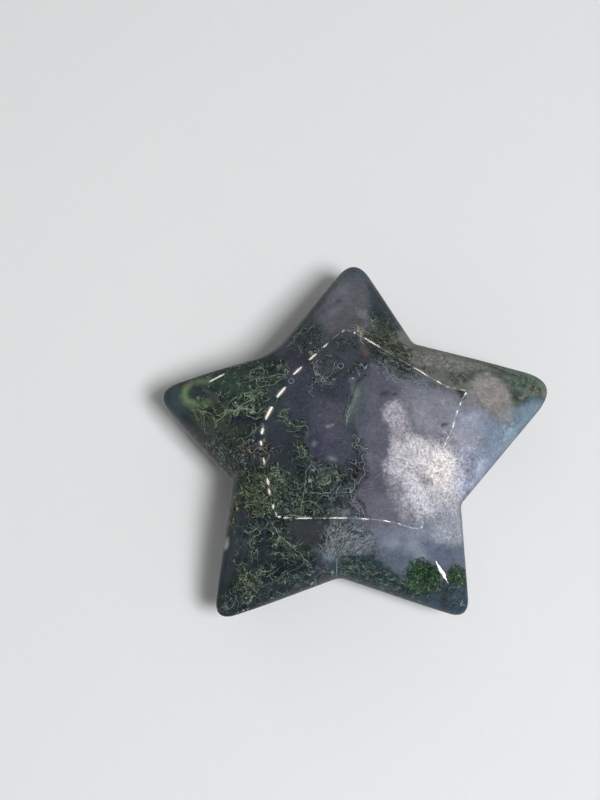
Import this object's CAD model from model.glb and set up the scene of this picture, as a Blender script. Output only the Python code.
# %% [markdown]
# # A moss agate star
# This lesson dresses one stone: a moss agate carved into a fat five-armed star and polished
# until it shines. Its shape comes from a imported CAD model, which is the fixed frame. Here
# the same shape is made again as a much finer mesh, the moss, chalcedony and quartz inside
# the stone are painted by a procedural material, and a small studio is set up round it.
# Lengths are in millimetres until the last step of the mesh, because a stone this size is
# measured that way.

# %% The tools
import math

import bpy
import numpy as np
from mathutils import Matrix, Vector


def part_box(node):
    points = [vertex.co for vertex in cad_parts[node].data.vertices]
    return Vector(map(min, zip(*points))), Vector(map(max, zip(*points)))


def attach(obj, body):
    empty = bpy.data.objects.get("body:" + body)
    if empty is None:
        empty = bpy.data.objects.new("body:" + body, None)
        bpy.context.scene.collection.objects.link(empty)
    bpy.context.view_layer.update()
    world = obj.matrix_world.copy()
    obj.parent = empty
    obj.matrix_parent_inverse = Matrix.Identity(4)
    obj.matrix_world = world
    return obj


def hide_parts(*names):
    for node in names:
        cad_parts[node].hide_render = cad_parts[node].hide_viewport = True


MILLIMETRE = 0.001

# %% [markdown]
# ## The frame
# The frame holds one CAD node, the whole stone. Its box is kept now, so that at the end it
# can be compared with the box of the finished visual model.

# %% Load the frame
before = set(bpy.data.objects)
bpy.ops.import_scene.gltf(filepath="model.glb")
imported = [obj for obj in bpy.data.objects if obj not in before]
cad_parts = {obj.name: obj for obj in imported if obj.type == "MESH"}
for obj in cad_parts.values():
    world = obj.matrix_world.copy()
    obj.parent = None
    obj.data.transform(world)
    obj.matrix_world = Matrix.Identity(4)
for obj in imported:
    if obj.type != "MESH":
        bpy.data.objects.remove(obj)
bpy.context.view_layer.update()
cad_low, cad_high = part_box("agate_star")
print("stone in the frame, mm:", [round((b - a) / MILLIMETRE, 2) for a, b in zip(cad_low, cad_high)])

# %% [markdown]
# ## The shape of the star
# A lapidary grinds such a star from a slab. Saw cuts give it five arms, a drum wheel gives
# it the five broad facets that look towards the notches, and the walls are rolled against a
# soft belt, so that they bulge. A polygon model would need many loops to follow this, and
# the highlights on polish show every flaw in them. So the stone is written as one formula,
# the same as in the CAD, that says how far a point is outside it. Each arm has two straight
# walls in plan, and each notch has one facet.

# %% The star's sizes
# Arms, anticlockwise from the top one: angle, reach of the tip, how widely its walls are
# blended there, and how soft its ridge is.
ARMS = np.array([
    (87.6, 36.2, 5.0, 0.20),
    (163.4, 36.3, 4.6, 0.55),
    (233.2, 39.3, 3.7, 0.15),
    (303.7, 37.1, 3.5, 0.15),
    (377.3, 39.4, 6.2, 0.18),
])
# Notches, each after its arm: angle, depth, how widely the walls are blended, facet radius.
NOTCHES = np.array([
    (129.2, 22.9, 2.4, 68.0),
    (196.3, 22.4, 0.6, 62.0),
    (265.9, 24.2, 0.8, 57.0),
    (332.3, 23.2, 0.8, 63.0),
    (417.5, 23.5, 0.8, 75.0),
])
HALF_THICKNESS = 10.8
BELLY_FLAT_CUT = 0.55
FACET_SIDEWAYS = 0.25
FACET_STRAIGHTENS = 40.0
WALL_RADIUS = 12.5
SHOULDER_NEAR = 0.9
SHOULDER_FAR = 3.0
SHOULDER_NEAR_REACH = 22.0
SHOULDER_FAR_REACH = 34.0


def polar(angle, radius):
    turn = np.radians(angle)
    return np.stack([np.cos(turn) * radius, np.sin(turn) * radius], axis=-1)


# %% [markdown]
# Two surfaces that meet in a polished stone never meet in a sharp line. The larger of two
# distances, with its corner rounded over, does that, and it works for a wall beside a wall,
# a facet beside a facet and the shoulder between a facet and a wall.

# %% Rounded joins and the arms' walls
def soft_max(a, b, blend):
    near = np.maximum(blend - np.abs(a - b), 0) / blend
    return np.maximum(a, b) + near * near * blend / 4


def soft_min(a, b, blend):
    return -soft_max(-a, -b, blend)


def wall_line(arm, notch):
    """A wall in plan: the direction that it faces, and how far it is from the middle."""
    angle, reach, blunt, _ = arm
    foot = polar(notch[0], notch[1])
    tip = polar(angle, reach)
    down_the_wall = tip - foot
    cosine = down_the_wall @ tip / (np.linalg.norm(down_the_wall) * reach)
    overshoot = blunt / (4 * math.sqrt(1 - cosine * cosine))
    along = polar(angle, reach + overshoot) - foot
    along /= np.linalg.norm(along)
    outward = np.array([along[1], -along[0]])
    if outward @ foot < 0:
        outward = -outward
    return outward[0], outward[1], outward @ foot


WALLS_BEFORE = np.array([wall_line(ARMS[i], NOTCHES[i - 1]) for i in range(5)])
WALLS_AFTER = np.array([wall_line(ARMS[i], NOTCHES[i]) for i in range(5)])
print("walls are", np.round(WALLS_BEFORE[:, 2], 1), "mm from the middle")


def outside_arm(arm, points):
    bulge = points[:, 2] ** 2 / (2 * WALL_RADIUS)

    def outside(walls):
        return walls[arm, 0] * points[:, 0] + walls[arm, 1] * points[:, 1] - walls[arm, 2] + bulge

    return soft_max(outside(WALLS_BEFORE), outside(WALLS_AFTER), ARMS[arm, 2])


def facet_fall(facet, points):
    """How far a facet has fallen from the crown: round at first, straighter further out."""
    axis = polar(NOTCHES[facet, 0], 1.0)
    out = np.maximum(0, (points[:, :2] * axis).sum(axis=1))
    sideways = points[:, 1] * axis[:, 0] - points[:, 0] * axis[:, 1]
    fall = (out**2 + FACET_SIDEWAYS * sideways**2) / (2 * NOTCHES[facet, 3])
    return fall / (1 + fall / FACET_STRAIGHTENS)


# %% [markdown]
# The whole stone follows from these two. A point is first given its arm and the side of the
# arm's tip that it is on. Then the walls are joined at the notch there, the arm's two facets
# are joined in its ridge, and the shoulder joins both.

# %% How far a point is outside the stone
def smooth_step(value, low, high):
    share = np.clip((value - low) / (high - low), 0, 1)
    return share * share * (3 - 2 * share)


def outside_stone(points):
    first = NOTCHES[4, 0] - 360
    turn = (np.degrees(np.arctan2(points[:, 1], points[:, 0])) - first) % 360 + first
    arm = np.minimum(np.searchsorted(NOTCHES[:, 0], turn), 4)
    past_tip = turn > ARMS[arm, 0]
    neighbour = np.where(past_tip, (arm + 1) % 5, (arm + 4) % 5)
    notch = np.where(past_tip, arm, (arm + 4) % 5)
    walls = soft_min(outside_arm(arm, points), outside_arm(neighbour, points), NOTCHES[notch, 2])

    one, other = facet_fall((arm + 4) % 5, points), facet_fall(arm, points)
    sag = soft_max(one, other, ARMS[arm, 3] * np.maximum(one, other) + 1e-6)
    face = HALF_THICKNESS - sag

    reach = np.hypot(points[:, 0], points[:, 1])
    far = smooth_step(reach, SHOULDER_NEAR_REACH, SHOULDER_FAR_REACH)
    shoulder = SHOULDER_NEAR + (SHOULDER_FAR - SHOULDER_NEAR) * far
    domes = soft_max(points[:, 2] - face, -points[:, 2] - face, shoulder)
    polished = soft_max(domes, walls, shoulder)
    return np.maximum(polished, -points[:, 2] - (HALF_THICKNESS - BELLY_FLAT_CUT))


# %% [markdown]
# ## The mesh
# Rays from the middle of the stone find its skin, each by halving the gap between inside
# and outside. The rays of one column lie in one upright plane. Rows crowd where the profile
# turns, at the shoulder, and on the face, because the face carries the painted markings and
# a marking can't be finer than the mesh that holds it.

# %% Rays to the skin
COLUMNS = 640
ROWS = 148
PROFILE_SAMPLES = 120
TURN_WEIGHT = 6.0  # millimetres of profile that one radian of turn counts as
BELOW_WEIGHT = 0.3  # how densely the rows lie below the girdle, against those above it
SQUASH = 3.0  # rays leave the middle as if the stone were this many times thicker
HALVINGS = 26


def skin(angles, rises):
    """The stone's surface along rays, given their angle in plan and their rise, in degrees."""
    level = polar(angles, np.cos(np.radians(rises)))
    rays = np.column_stack([level, np.sin(np.radians(rises)) / SQUASH])
    rays /= np.linalg.norm(rays, axis=1)[:, None]
    inside, outside = np.zeros(len(rays)), np.full(len(rays), 60.0)
    for _ in range(HALVINGS):
        middle = (inside + outside) / 2
        is_in = outside_stone(rays * middle[:, None]) < 0
        inside, outside = np.where(is_in, middle, inside), np.where(is_in, outside, middle)
    return rays * inside[:, None]


def column_angles():
    """Directions that run through every tip and notch, and crowd a little towards them."""
    stops = np.append(np.stack([ARMS[:, 0], NOTCHES[:, 0]], axis=1).ravel(), ARMS[0, 0] + 360)
    share = np.arange(COLUMNS // 10) / (COLUMNS // 10)
    eased = (share + (1 - np.cos(np.pi * share)) / 2) / 2
    return np.concatenate([a + (b - a) * eased for a, b in zip(stops[:-1], stops[1:])])


# %% Where each column's rows lie
def row_rises(angles):
    rises = np.linspace(-90, 90, PROFILE_SAMPLES + 1)
    profile = skin(np.repeat(angles, len(rises)), np.tile(rises, len(angles)))
    profile = profile.reshape(len(angles), -1, 3)
    reach = np.hypot(profile[..., 0], profile[..., 1])
    run, climb = np.diff(reach, axis=1), np.diff(profile[..., 2], axis=1)
    heading = np.arctan2(climb, run)
    turn = np.abs(np.diff(heading, axis=1, prepend=0.0))
    density = np.where(profile[:, 1:, 2] > 0, 1.0, BELOW_WEIGHT)
    travelled = np.cumsum(np.hypot(run, climb) * density + TURN_WEIGHT * turn, axis=1)
    travelled = np.concatenate([np.zeros((len(angles), 1)), travelled], axis=1)
    shares = np.arange(1, ROWS) / ROWS
    return np.array([np.interp(shares * t[-1], t, rises) for t in travelled])


ANGLES = column_angles()
rises = row_rises(ANGLES)
ring_points = skin(np.repeat(ANGLES, ROWS - 1), rises.ravel())
belly_point, crown_point = skin(np.zeros(2), np.array([-90.0, 90.0]))
points = np.vstack([belly_point, ring_points, crown_point])
print(len(points), "points on the skin")

# %% [markdown]
# The columns and rows become quads, with a fan of triangles at the crown and one at the
# belly, whose ring of points is already level because the belly is ground flat. The stone
# is moved so that its box stands over the origin, as the CAD's does. A highlight on polish
# shows the smallest unevenness of the normals, so they aren't averaged from the faces but
# felt from the formula: it grows fastest straight out of the stone.

# %% Skin to mesh
def star_faces():
    step = ROWS - 1
    quads, fans = [], []
    crown = 1 + COLUMNS * step
    for column in range(COLUMNS):
        here, there = 1 + column * step, 1 + (column + 1) % COLUMNS * step
        fans.append((0, there, here))
        quads += [(here + r, there + r, there + r + 1, here + r + 1) for r in range(step - 1)]
        fans.append((crown, here + step - 1, there + step - 1))
    return quads + fans


FEELER = 0.05  # how far to either side of a spot the slope is felt


def slope(spots):
    """The direction straight out of the stone at each spot."""
    feelers = np.eye(3) * FEELER
    facing = np.stack([outside_stone(spots + f) - outside_stone(spots - f) for f in feelers], axis=1)
    return facing / np.linalg.norm(facing, axis=1)[:, None]


facing = slope(points)
low, high = points.min(axis=0), points.max(axis=0)
middle = np.array([-(low[0] + high[0]) / 2, -(low[1] + high[1]) / 2, -low[2]])
points = points + middle
star_mesh = bpy.data.meshes.new("polished_star")
star_mesh.from_pydata((points * MILLIMETRE).tolist(), [], star_faces())
star_mesh.polygons.foreach_set("use_smooth", [True] * len(star_mesh.polygons))
star_mesh.update()
star_mesh.normals_split_custom_set_from_vertices(facing.tolist())
star = bpy.data.objects.new("polished_star", star_mesh)
bpy.context.scene.collection.objects.link(star)
print("middle of the star, mm:", np.round(middle, 2), "size, mm:", np.round(high - low, 2))

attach(star, "root")
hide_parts("agate_star")

# %% [markdown]
# ## What the stone is made of
# Moss agate is clear grey chalcedony that grew round threads of green minerals. In this star
# the left half is smoky and full of moss, the right half is lavender with a patch of white
# fibrous quartz, and the right arm is clouded beige and olive. A stone like this can't be
# had from one procedural texture, because every region has its own kind of marking. So the
# regions are laid on by hand, as a painter would block in a picture, and textures do the
# fine work inside them. The regions are kept on the mesh's points as attributes.
#
# Below its girdle the stone can't be seen in a photograph. The markings there are those of
# the face, read at a place that leans and turns away with depth, as if the beds of moss ran
# through the stone aslant. That keeps the walls and the belly part of the same stone, and
# the turn keeps an arm's underside from mirroring its top.

# %% Where each point looks for its markings
LEAN = np.array([0.4, -0.3])  # sideways millimetres for each millimetre below the girdle
TWIST = math.radians(3.5)  # and the turn about the star's middle
WAVES = 9

below_girdle = np.clip(middle[2] - points[:, 2], 0, None)
turned, across = below_girdle * TWIST, points[:, :2] - middle[:2]
plan = np.column_stack([
    across[:, 0] * np.cos(turned) - across[:, 1] * np.sin(turned),
    across[:, 0] * np.sin(turned) + across[:, 1] * np.cos(turned),
]) + middle[:2] + below_girdle[:, None] * LEAN


def wander(spots, size, reach, seed):
    """A smooth random push of each spot, made of a few crossing waves."""
    dice = np.random.default_rng(seed)
    push = np.zeros_like(spots)
    for _ in range(WAVES):
        wave = polar(dice.uniform(0, 360), 2 * math.pi / size * dice.uniform(0.6, 1.6))
        swing = np.sin(spots @ wave + dice.uniform(0, 2 * math.pi))
        push += swing[:, None] * polar(dice.uniform(0, 360), reach / math.sqrt(WAVES))
    return push


ragged = plan + wander(plan, 7.0, 0.35, seed=11) + wander(plan, 1.6, 0.28, seed=12)
print("edges are pushed by up to", round(float(np.abs(ragged - plan).max()), 2), "mm")

# %% [markdown]
# A patch is an outline of a few corners with a feathered edge, and a dab is an ellipse. Both
# give each point a share from 0 to 1. The ragged places make their edges uneven. A stroke
# needs only the distance to a curve that runs through its corners.

# %% Patches, dabs and strokes
def patch(corners, feather):
    """The share of each point that lies inside a closed outline."""
    corners = np.array(corners)
    low, high = corners.min(axis=0) - feather, corners.max(axis=0) + feather
    near = np.flatnonzero(((ragged > low) & (ragged < high)).all(axis=1))
    spots = ragged[near]
    nearest = np.full(len(near), np.inf)
    is_inside = np.zeros(len(near), bool)
    for a, b in zip(corners, np.roll(corners, -1, axis=0)):
        edge = b - a
        along = np.clip((spots - a) @ edge / (edge @ edge), 0, 1)
        nearest = np.minimum(nearest, np.linalg.norm(spots - a - along[:, None] * edge, axis=1))
        if edge[1]:
            crossing = a[0] + (spots[:, 1] - a[1]) * edge[0] / edge[1]
            straddles = (a[1] > spots[:, 1]) != (b[1] > spots[:, 1])
            is_inside ^= straddles & (spots[:, 0] < crossing)
    share = np.zeros(len(points))
    share[near] = smooth_step(np.where(is_inside, nearest, -nearest), -feather / 2, feather / 2)
    return share


def dab(x, y, half_width, half_height, turn, spots=None):
    """How near each point is to the middle of an ellipse: 1 there, 0 at its edge and beyond."""
    away = (ragged if spots is None else spots) - (x, y)
    along = away @ polar(turn, 1.0) / half_width
    across = away @ polar(turn + 90, 1.0) / half_height
    return np.clip(1 - np.hypot(along, across), 0, 1)


def smooth_path(corners, pieces=6):
    """More points along a line, on a curve that runs through all the given ones."""
    p = np.vstack([corners[0], corners, corners[-1]]).astype(float)
    t = (np.arange(pieces) / pieces)[:, None]
    path = []
    for a, b, c, d in zip(p, p[1:], p[2:], p[3:]):
        bend = (a - 2.5 * b + 2 * c - d / 2) * t**2 + (1.5 * (b - c) + (d - a) / 2) * t**3
        path.append(b + (c - a) / 2 * t + bend)
    return np.vstack(path + [p[-1:]])


def distance_to(corners, spots, reach):
    """Each point's distance to the curve through the corners; on its right it is negative."""
    path = smooth_path(np.array(corners if len(corners) > 1 else corners * 2))
    low, high = path.min(axis=0) - reach, path.max(axis=0) + reach
    near = np.flatnonzero(((spots > low) & (spots < high)).all(axis=1))
    nearest = np.full(len(near), float(reach))
    for a, b in zip(path[:-1], path[1:]):
        away, piece = spots[near] - a, b - a
        along = np.clip(away @ piece / max(piece @ piece, 1e-9), 0, 1)
        length = np.linalg.norm(away - along[:, None] * piece, axis=1)
        is_right = piece[0] * away[:, 1] < piece[1] * away[:, 0]
        nearest = np.where(length < np.abs(nearest), np.where(is_right, -length, length), nearest)
    distance = np.full(len(points), float(reach))
    distance[near] = nearest
    return distance


# %% [markdown]
# Colours are given as they should look on the screen. The face is lit a little unevenly, and
# its polish adds some light of its own, so both are taken out again to get the base colour.

# %% From a colour on the screen to a base colour
VEIL = 0.0055  # light that the polish adds
LIT_MIDDLE = 1.02  # light that the face gives back in the star's middle, for a white surface
LIT_RIGHTWARD, LIT_UPWARD = 0.0038, -0.0028  # and how that changes for each millimetre


def seen(red, green, blue):
    """The base colour of stone that is to look like this on the screen, from 0 to 255."""
    light = np.array([red, green, blue]) / 255
    light = np.where(light > 0.04045, ((light + 0.055) / 1.055) ** 2.4, light / 12.92)
    return np.clip((light - VEIL) / LIT_MIDDLE, 0.002, 0.95)


# %% [markdown]
# ### The ground
# First the ground, from the largest regions to the smallest: smoky chalcedony everywhere,
# lavender over the right half, then the arms one by one.

# %% The ground of each region
GROUND = [
    ("grey top arm", (84, 88, 94), 3.0,
     [(0, 38.5), (2.5, 38.5), (9, 23.5), (6.5, 17), (1.5, 18), (-2, 17.5), (-6.5, 15), (-10.5, 13.5),
      (-11, 15), (-7.5, 21)]),
    ("its dark right side", (46, 57, 64), 2.0,
     [(2.2, 31), (9.5, 20), (8, 17), (6, 16.5), (3.6, 20), (2.2, 25)]),
    ("its paler left", (94, 98, 106), 2.2, [(-5.5, 22.5), (-3, 28), (-1, 28), (-1.4, 23.5), (-4.5, 20)]),
    ("its lower left side", (46, 56, 61), 3.0,
     [(-11, 20.5), (-8, 21), (-5.5, 17.5), (-7.5, 14.5), (-12, 14.5)]),
    ("its rosy foot", (84, 85, 92), 2.0, [(-5, 20.5), (-1, 21.5), (1, 19), (-1, 18), (-4.5, 17.5)]),
    ("its light patch", (104, 108, 111), 1.2, [(0, 22.8), (2.7, 22.2), (2.6, 20.8), (0.4, 20.6)]),
    ("its tip", (66, 79, 89), 4.0, [(-3, 34), (5, 34), (3, 29.5), (-1, 29.5)]),
    ("smoke over the upper left notch", (47, 50, 56), 2.0,
     [(-15.5, 12), (-10.5, 15), (-6.5, 14), (-8.5, 9.5), (-13, 8)]),
    ("grey between the notch and the ring", (62, 67, 74), 2.5,
     [(-7, 15.5), (-1, 17.5), (1, 14), (-0.5, 9.5), (-4, 8.5), (-8, 10)]),
    ("violet smoke left of the middle", (58, 62, 73), 3.0,
     [(-16.5, 12.5), (-9, 11), (-4, 8), (-1.5, 6), (-2.5, 0), (-5, -4), (-10.5, -2), (-16, -1.5)]),
    ("paler smoke in the middle", (67, 71, 83), 3.0,
     [(-8.5, 4), (-1.5, 3.5), (-1, -7.5), (-5, -10), (-9.5, -8.5)]),
    ("brownish smoke in it", (74, 76, 87), 2.4,
     [(-5.5, 3.5), (-2.5, 3), (-2.5, -3), (-5.5, -4), (-6.5, 0)]),
    ("dark smoke below it", (49, 55, 61), 2.5,
     [(-16, -0.5), (-10.5, -1), (-8.5, -6), (-9.5, -9.5), (-12, -11), (-16.5, -9)]),
    ("violet specks' ground", (60, 62, 76), 1.8, [(-9.5, -2), (-6.5, -2.5), (-6, -7.5), (-8.5, -6.5)]),
    ("smoky lower left arm", (32, 42, 50), 2.0,
     [(-22.5, -7), (-16, -8.5), (-10.5, -18), (-7, -26.5), (-10, -40), (-30, -40), (-30, -30),
      (-25, -19.5)]),
    ("its smooth body", (41, 50, 57), 2.0,
     [(-27, -15.5), (-20, -16.5), (-18, -24.5), (-20, -29), (-28, -27)]),
    ("a lighter cloud in it", (56, 64, 70), 1.6,
     [(-22.2, -20.5), (-20, -20.5), (-19.6, -23.5), (-21.8, -23.5)]),
    ("its purple part", (58, 55, 62), 1.5, [(-21, -15), (-18.5, -15.5), (-18.5, -18), (-20.5, -17.5)]),
    ("purple between the mosses", (44, 48, 60), 1.2,
     [(-17.6, -22.5), (-15, -22.8), (-15.2, -24.8), (-17.6, -24.6)]),
    ("mossy ground of the tangle", (32, 46, 43), 2.0,
     [(-21.5, -8.5), (-17, -8), (-15, -10.5), (-11.5, -12), (-11, -16), (-15, -17), (-18, -15.5),
      (-21, -14)]),
    ("ground of the low moss", (40, 52, 56), 2.5,
     [(-11, -9), (-3, -9), (0, -13), (0, -17.5), (-6, -18.5), (-12, -17.5)]),
    ("grey-blue moss near the edge", (87, 99, 109), 1.8,
     [(-5, -12.5), (-1.4, -12), (-1, -15.5), (-5.5, -15.5)]),
    ("olive haze at its foot", (136, 142, 140), 1.2,
     [(-4.6, -15.9), (-1.2, -15.8), (-1, -17.4), (-4.4, -17.6)]),
    ("brown smoke at the bottom", (56, 60, 62), 1.5,
     [(-13.5, -18), (-7.2, -18), (-6.8, -22.5), (-11, -22.5), (-13.6, -20.5)]),
    ("mossy left arm", (30, 45, 45), 2.0,
     [(-42, 7.5), (-38, 16), (-24, 20), (-15, 15), (-13, 7), (-15, 2), (-17.5, -0.5), (-22, -10),
      (-31, -6), (-40, 0)]),
    ("its tip", (46, 62, 67), 1.5,
     [(-42, 8.5), (-38, 14), (-33, 13), (-32.5, 6), (-31.5, 3.5), (-36, 0)]),
    ("its dark rim", (38, 46, 46), 1.2,
     [(-34, 14), (-32, 10.5), (-28, 11), (-24, 12), (-18, 14), (-16, 17), (-24, 20)]),
    ("its dark inside", (35, 49, 49), 1.5,
     [(-29.5, 8), (-26, 9), (-21.5, 9.5), (-19, 7.5), (-20.5, 5.5), (-24, 4), (-27.5, 5)]),
    ("its green haze", (48, 66, 54), 2.8,
     [(-26, 9.5), (-21, 11), (-18.5, 10), (-17.5, 7), (-19.5, 5), (-22.5, 6.5), (-25, 7)]),
    ("smoke behind its threads", (54, 64, 69), 1.6,
     [(-17, 7), (-14, 7.5), (-13.5, 3), (-16.5, 2), (-17.5, 4.5)]),
    ("its olive lower side", (54, 61, 54), 1.6,
     [(-28.5, 1.5), (-24, 1.4), (-21.5, -0.5), (-21.5, -3), (-24, -3.6), (-28, -1.5), (-30, 0.5)]),
    ("its brown lower side", (46, 53, 52), 2.0,
     [(-31.5, 2.5), (-29.5, 1), (-26, -3), (-21, -3.5), (-19.5, -5), (-20, -8), (-26, -7), (-33, -2)]),
    ("a dark window in it", (36, 42, 54), 0.8,
     [(-22.3, 1.9), (-17.5, 1.3), (-17, -0.5), (-19, -1), (-21.6, -0.4)]),
    ("another, smaller", (38, 44, 57), 0.7,
     [(-20, -1.9), (-17.6, -1.4), (-17.2, -3.2), (-18.8, -4.6), (-20, -4)]),
    ("lavender body", (93, 96, 109), 1.2,
     [(-1, 8), (3, 11.5), (6.5, 8.5), (13.5, 7), (18, 6.5), (20.5, 5), (22.5, 3), (46, 8), (46, -40),
      (15, -44), (12, -30), (7.5, -26.5), (3.5, -23.5), (-1, -23), (-2, -20), (-1.5, -14.5), (0.5, -11),
      (1.5, -6.5), (0, -2), (-1, 3)]),
    ("its left side", (82, 87, 97), 1.8, [(-1, 8), (2, 9), (1.6, 3), (1.8, -3), (0.6, -3.5), (-0.5, 2)]),
    ("its upper side", (86, 88, 101), 2.0, [(2, 10.5), (5.5, 9), (9, 6.5), (5.5, 4.5), (2, 6)]),
    ("its rosy edge", (87, 87, 99), 2.5, [(0, -9.5), (5, -9.5), (6, -14.5), (3.5, -18), (-0.5, -16.5)]),
    ("its lower part", (101, 103, 116), 3.0, [(1, -13.5), (7.5, -14.5), (9.5, -19.5), (2.5, -20)]),
    ("lower right arm", (122, 130, 147), 3.0,
     [(2.5, -20), (9.5, -18.5), (16.5, -17.5), (24, -16.5), (24, -24), (12.5, -25), (7.5, -25),
      (3.5, -23)]),
    ("its pale side", (128, 136, 147), 3.0, [(14.5, -17), (24, -14.5), (24, -21), (16, -22)]),
    ("its purple belt", (94, 104, 122), 2.0, [(11, -21.5), (24, -22), (24, -25.5), (13, -25)]),
    ("grey above its moss", (95, 105, 119), 2.0,
     [(2.4, -23.4), (8, -23), (10.5, -25), (9, -28.6), (5.5, -26.6)]),
    ("plain grey of the right", (122, 125, 136), 3.5,
     [(8.5, 7), (19, 5.5), (19, -0.5), (13, -2), (8.5, 2)]),
    ("greener grey in it", (134, 138, 147), 3.0,
     [(10, 2.5), (14.5, 2.5), (16, -1.2), (13, -2.6), (10.2, -1)]),
    ("its palest part", (147, 153, 169), 4.0,
     [(17, 2.5), (23.5, 3), (24.5, -0.5), (22, -6), (18.5, -6), (17.5, -2)]),
    ("blue-grey beyond it", (123, 138, 157), 3.0,
     [(23, 1.5), (27.5, 1), (40, 3.5), (34, -10), (22, -14), (21, -7)]),
    ("olive side of the right arm", (101, 104, 99), 1.6,
     [(8, 18.5), (12.5, 22), (22, 20), (34, 18), (42, 11), (36, 7), (29, 7), (26.5, 10.5), (23, 11),
      (19.5, 9), (19.5, 5.5), (15, 7), (9, 10), (5, 13.5)]),
    ("its grey part", (102, 103, 101), 2.4,
     [(9, 14.8), (13, 14.6), (18, 12.6), (17, 9.6), (13.5, 8.8), (9, 9.8), (8, 12)]),
    ("its upper rim", (92, 99, 98), 1.4,
     [(11, 16), (15, 14.4), (24, 12.6), (26, 14), (20, 18), (12, 20)]),
    ("grey right of the corner", (126, 127, 133), 1.4,
     [(19.9, 6.8), (21.6, 7.8), (22.4, 6), (22.6, 3), (20.6, 2.4), (19.6, 4)]),
    ("green between the clouds", (104, 115, 102), 1.2,
     [(17.2, 9.2), (20.4, 9), (21, 7.4), (20, 6.4), (17.6, 7)]),
    ("its beige cloud", (146, 143, 139), 2.0,
     [(20.7, 8.5), (22.7, 9.8), (24.5, 10.3), (27, 8.8), (28.4, 7.2), (28.9, 5), (29, 3), (28.7, 0.9),
      (27.4, 0.4), (26, 1.6), (25, 2.7), (23.8, 2.6), (22.2, 3.5), (22.4, 5), (21.7, 6.4), (20.7, 7.3)]),
    ("grey end of the cloud", (130, 152, 170), 1.6,
     [(26.6, 3.5), (29.5, 3.5), (30, -1.5), (27.6, -2.5), (26.5, 0)]),
    ("olive by its tip", (92, 113, 102), 1.4,
     [(26.8, 11.5), (33, 11.5), (36, 9.5), (33, 7), (30, 6.4), (28.6, 7.6)]),
    ("its rosy tip", (106, 108, 100), 1.2,
     [(31.4, 8.4), (34, 8.2), (36.5, 9), (36.5, 6.8), (32.4, 6.8)]),
    ("blue below the tip", (107, 128, 143), 2.2, [(29.6, 4.2), (32.5, 6), (40, 6), (34, -2), (29.8, 0)]),
    ("green band under the top arm", (68, 84, 80), 1.4,
     [(1, 17), (5.5, 16), (10.5, 14), (12.5, 12), (9, 9), (5.5, 10.5), (3, 13.5)]),
    ("its brown upper side", (68, 72, 56), 0.8,
     [(1.6, 17.1), (4.4, 16.5), (8.6, 14.4), (8.4, 13.2), (6, 13.9), (3.4, 15.4)]),
    ("its grey lower side", (103, 110, 118), 1.4,
     [(4, 12), (6.8, 10.6), (9, 9.6), (13.6, 7.8), (13, 6.8), (7, 7.6)]),
    ("a blue pocket in it", (50, 53, 66), 0.8, [(3, 13.6), (4.8, 13.4), (5.2, 12.2), (3.6, 12.2)]),
    ("feathery grey at the bottom", (95, 108, 119), 1.8,
     [(-5.6, -19.5), (-1.5, -17.7), (2.5, -20), (3, -23), (-1, -24), (-5, -25), (-6.6, -22.6)]),
    ("a dark pocket in it", (16, 24, 34), 0.8,
     [(-7.2, -20.8), (-5.6, -20.6), (-5.2, -22), (-6.4, -22.8)]),
    ("its blue foot", (103, 122, 138), 1.2, [(-6, -22.8), (-4, -22.8), (-3.4, -24.6), (-5.6, -24.8)]),
    ("moss along the lower wall", (36, 63, 68), 1.4,
     [(-4, -23.8), (1.8, -24.4), (5.6, -26.6), (10.8, -30), (14, -34), (7.5, -36), (-6, -33)]),
    ("toe of the lower right arm", (56, 76, 92), 1.5,
     [(10, -30), (15.5, -29), (24, -28.5), (24, -40), (12, -40)]),
    ("dark ground of its moss", (24, 64, 50), 1.0,
     [(8.7, -28.4), (10.1, -26.1), (10.9, -25.1), (12.2, -25.3), (13.3, -26.1), (14.3, -26.8),
      (14.1, -28.5), (12.9, -29.5), (11.3, -30.3), (9.7, -30.1)]),
    ("and beside it", (28, 62, 58), 1.0,
     [(16.2, -27.5), (17.1, -26.5), (18.3, -26.1), (20, -26.5), (20, -28.8), (17.5, -28.6)]),
    ("mossy lower left tip", (17, 38, 38), 2.0,
     [(-25, -29), (-21, -27), (-17, -29), (-17, -31), (-22, -36), (-29, -36)]),
]
SMOKE = (56, 62, 70)

ground = np.tile(seen(*SMOKE), (len(points), 1))
for _, colour, feather, corners in GROUND:
    share = patch(corners, feather)[:, None]
    ground = ground * (1 - share) + seen(*colour) * share
print(len(GROUND), "patches of ground; mean colour", np.round(ground.mean(axis=0), 3))

# %% [markdown]
# ### Soft strokes
# Some markings have no crisp edge, because they lie deeper in the stone: the green horseshoe
# near the left tip, the pale plume beside the middle, dark and rusty spots. They are soft
# strokes laid over the ground. A stroke of a single corner is a spot.

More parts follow.
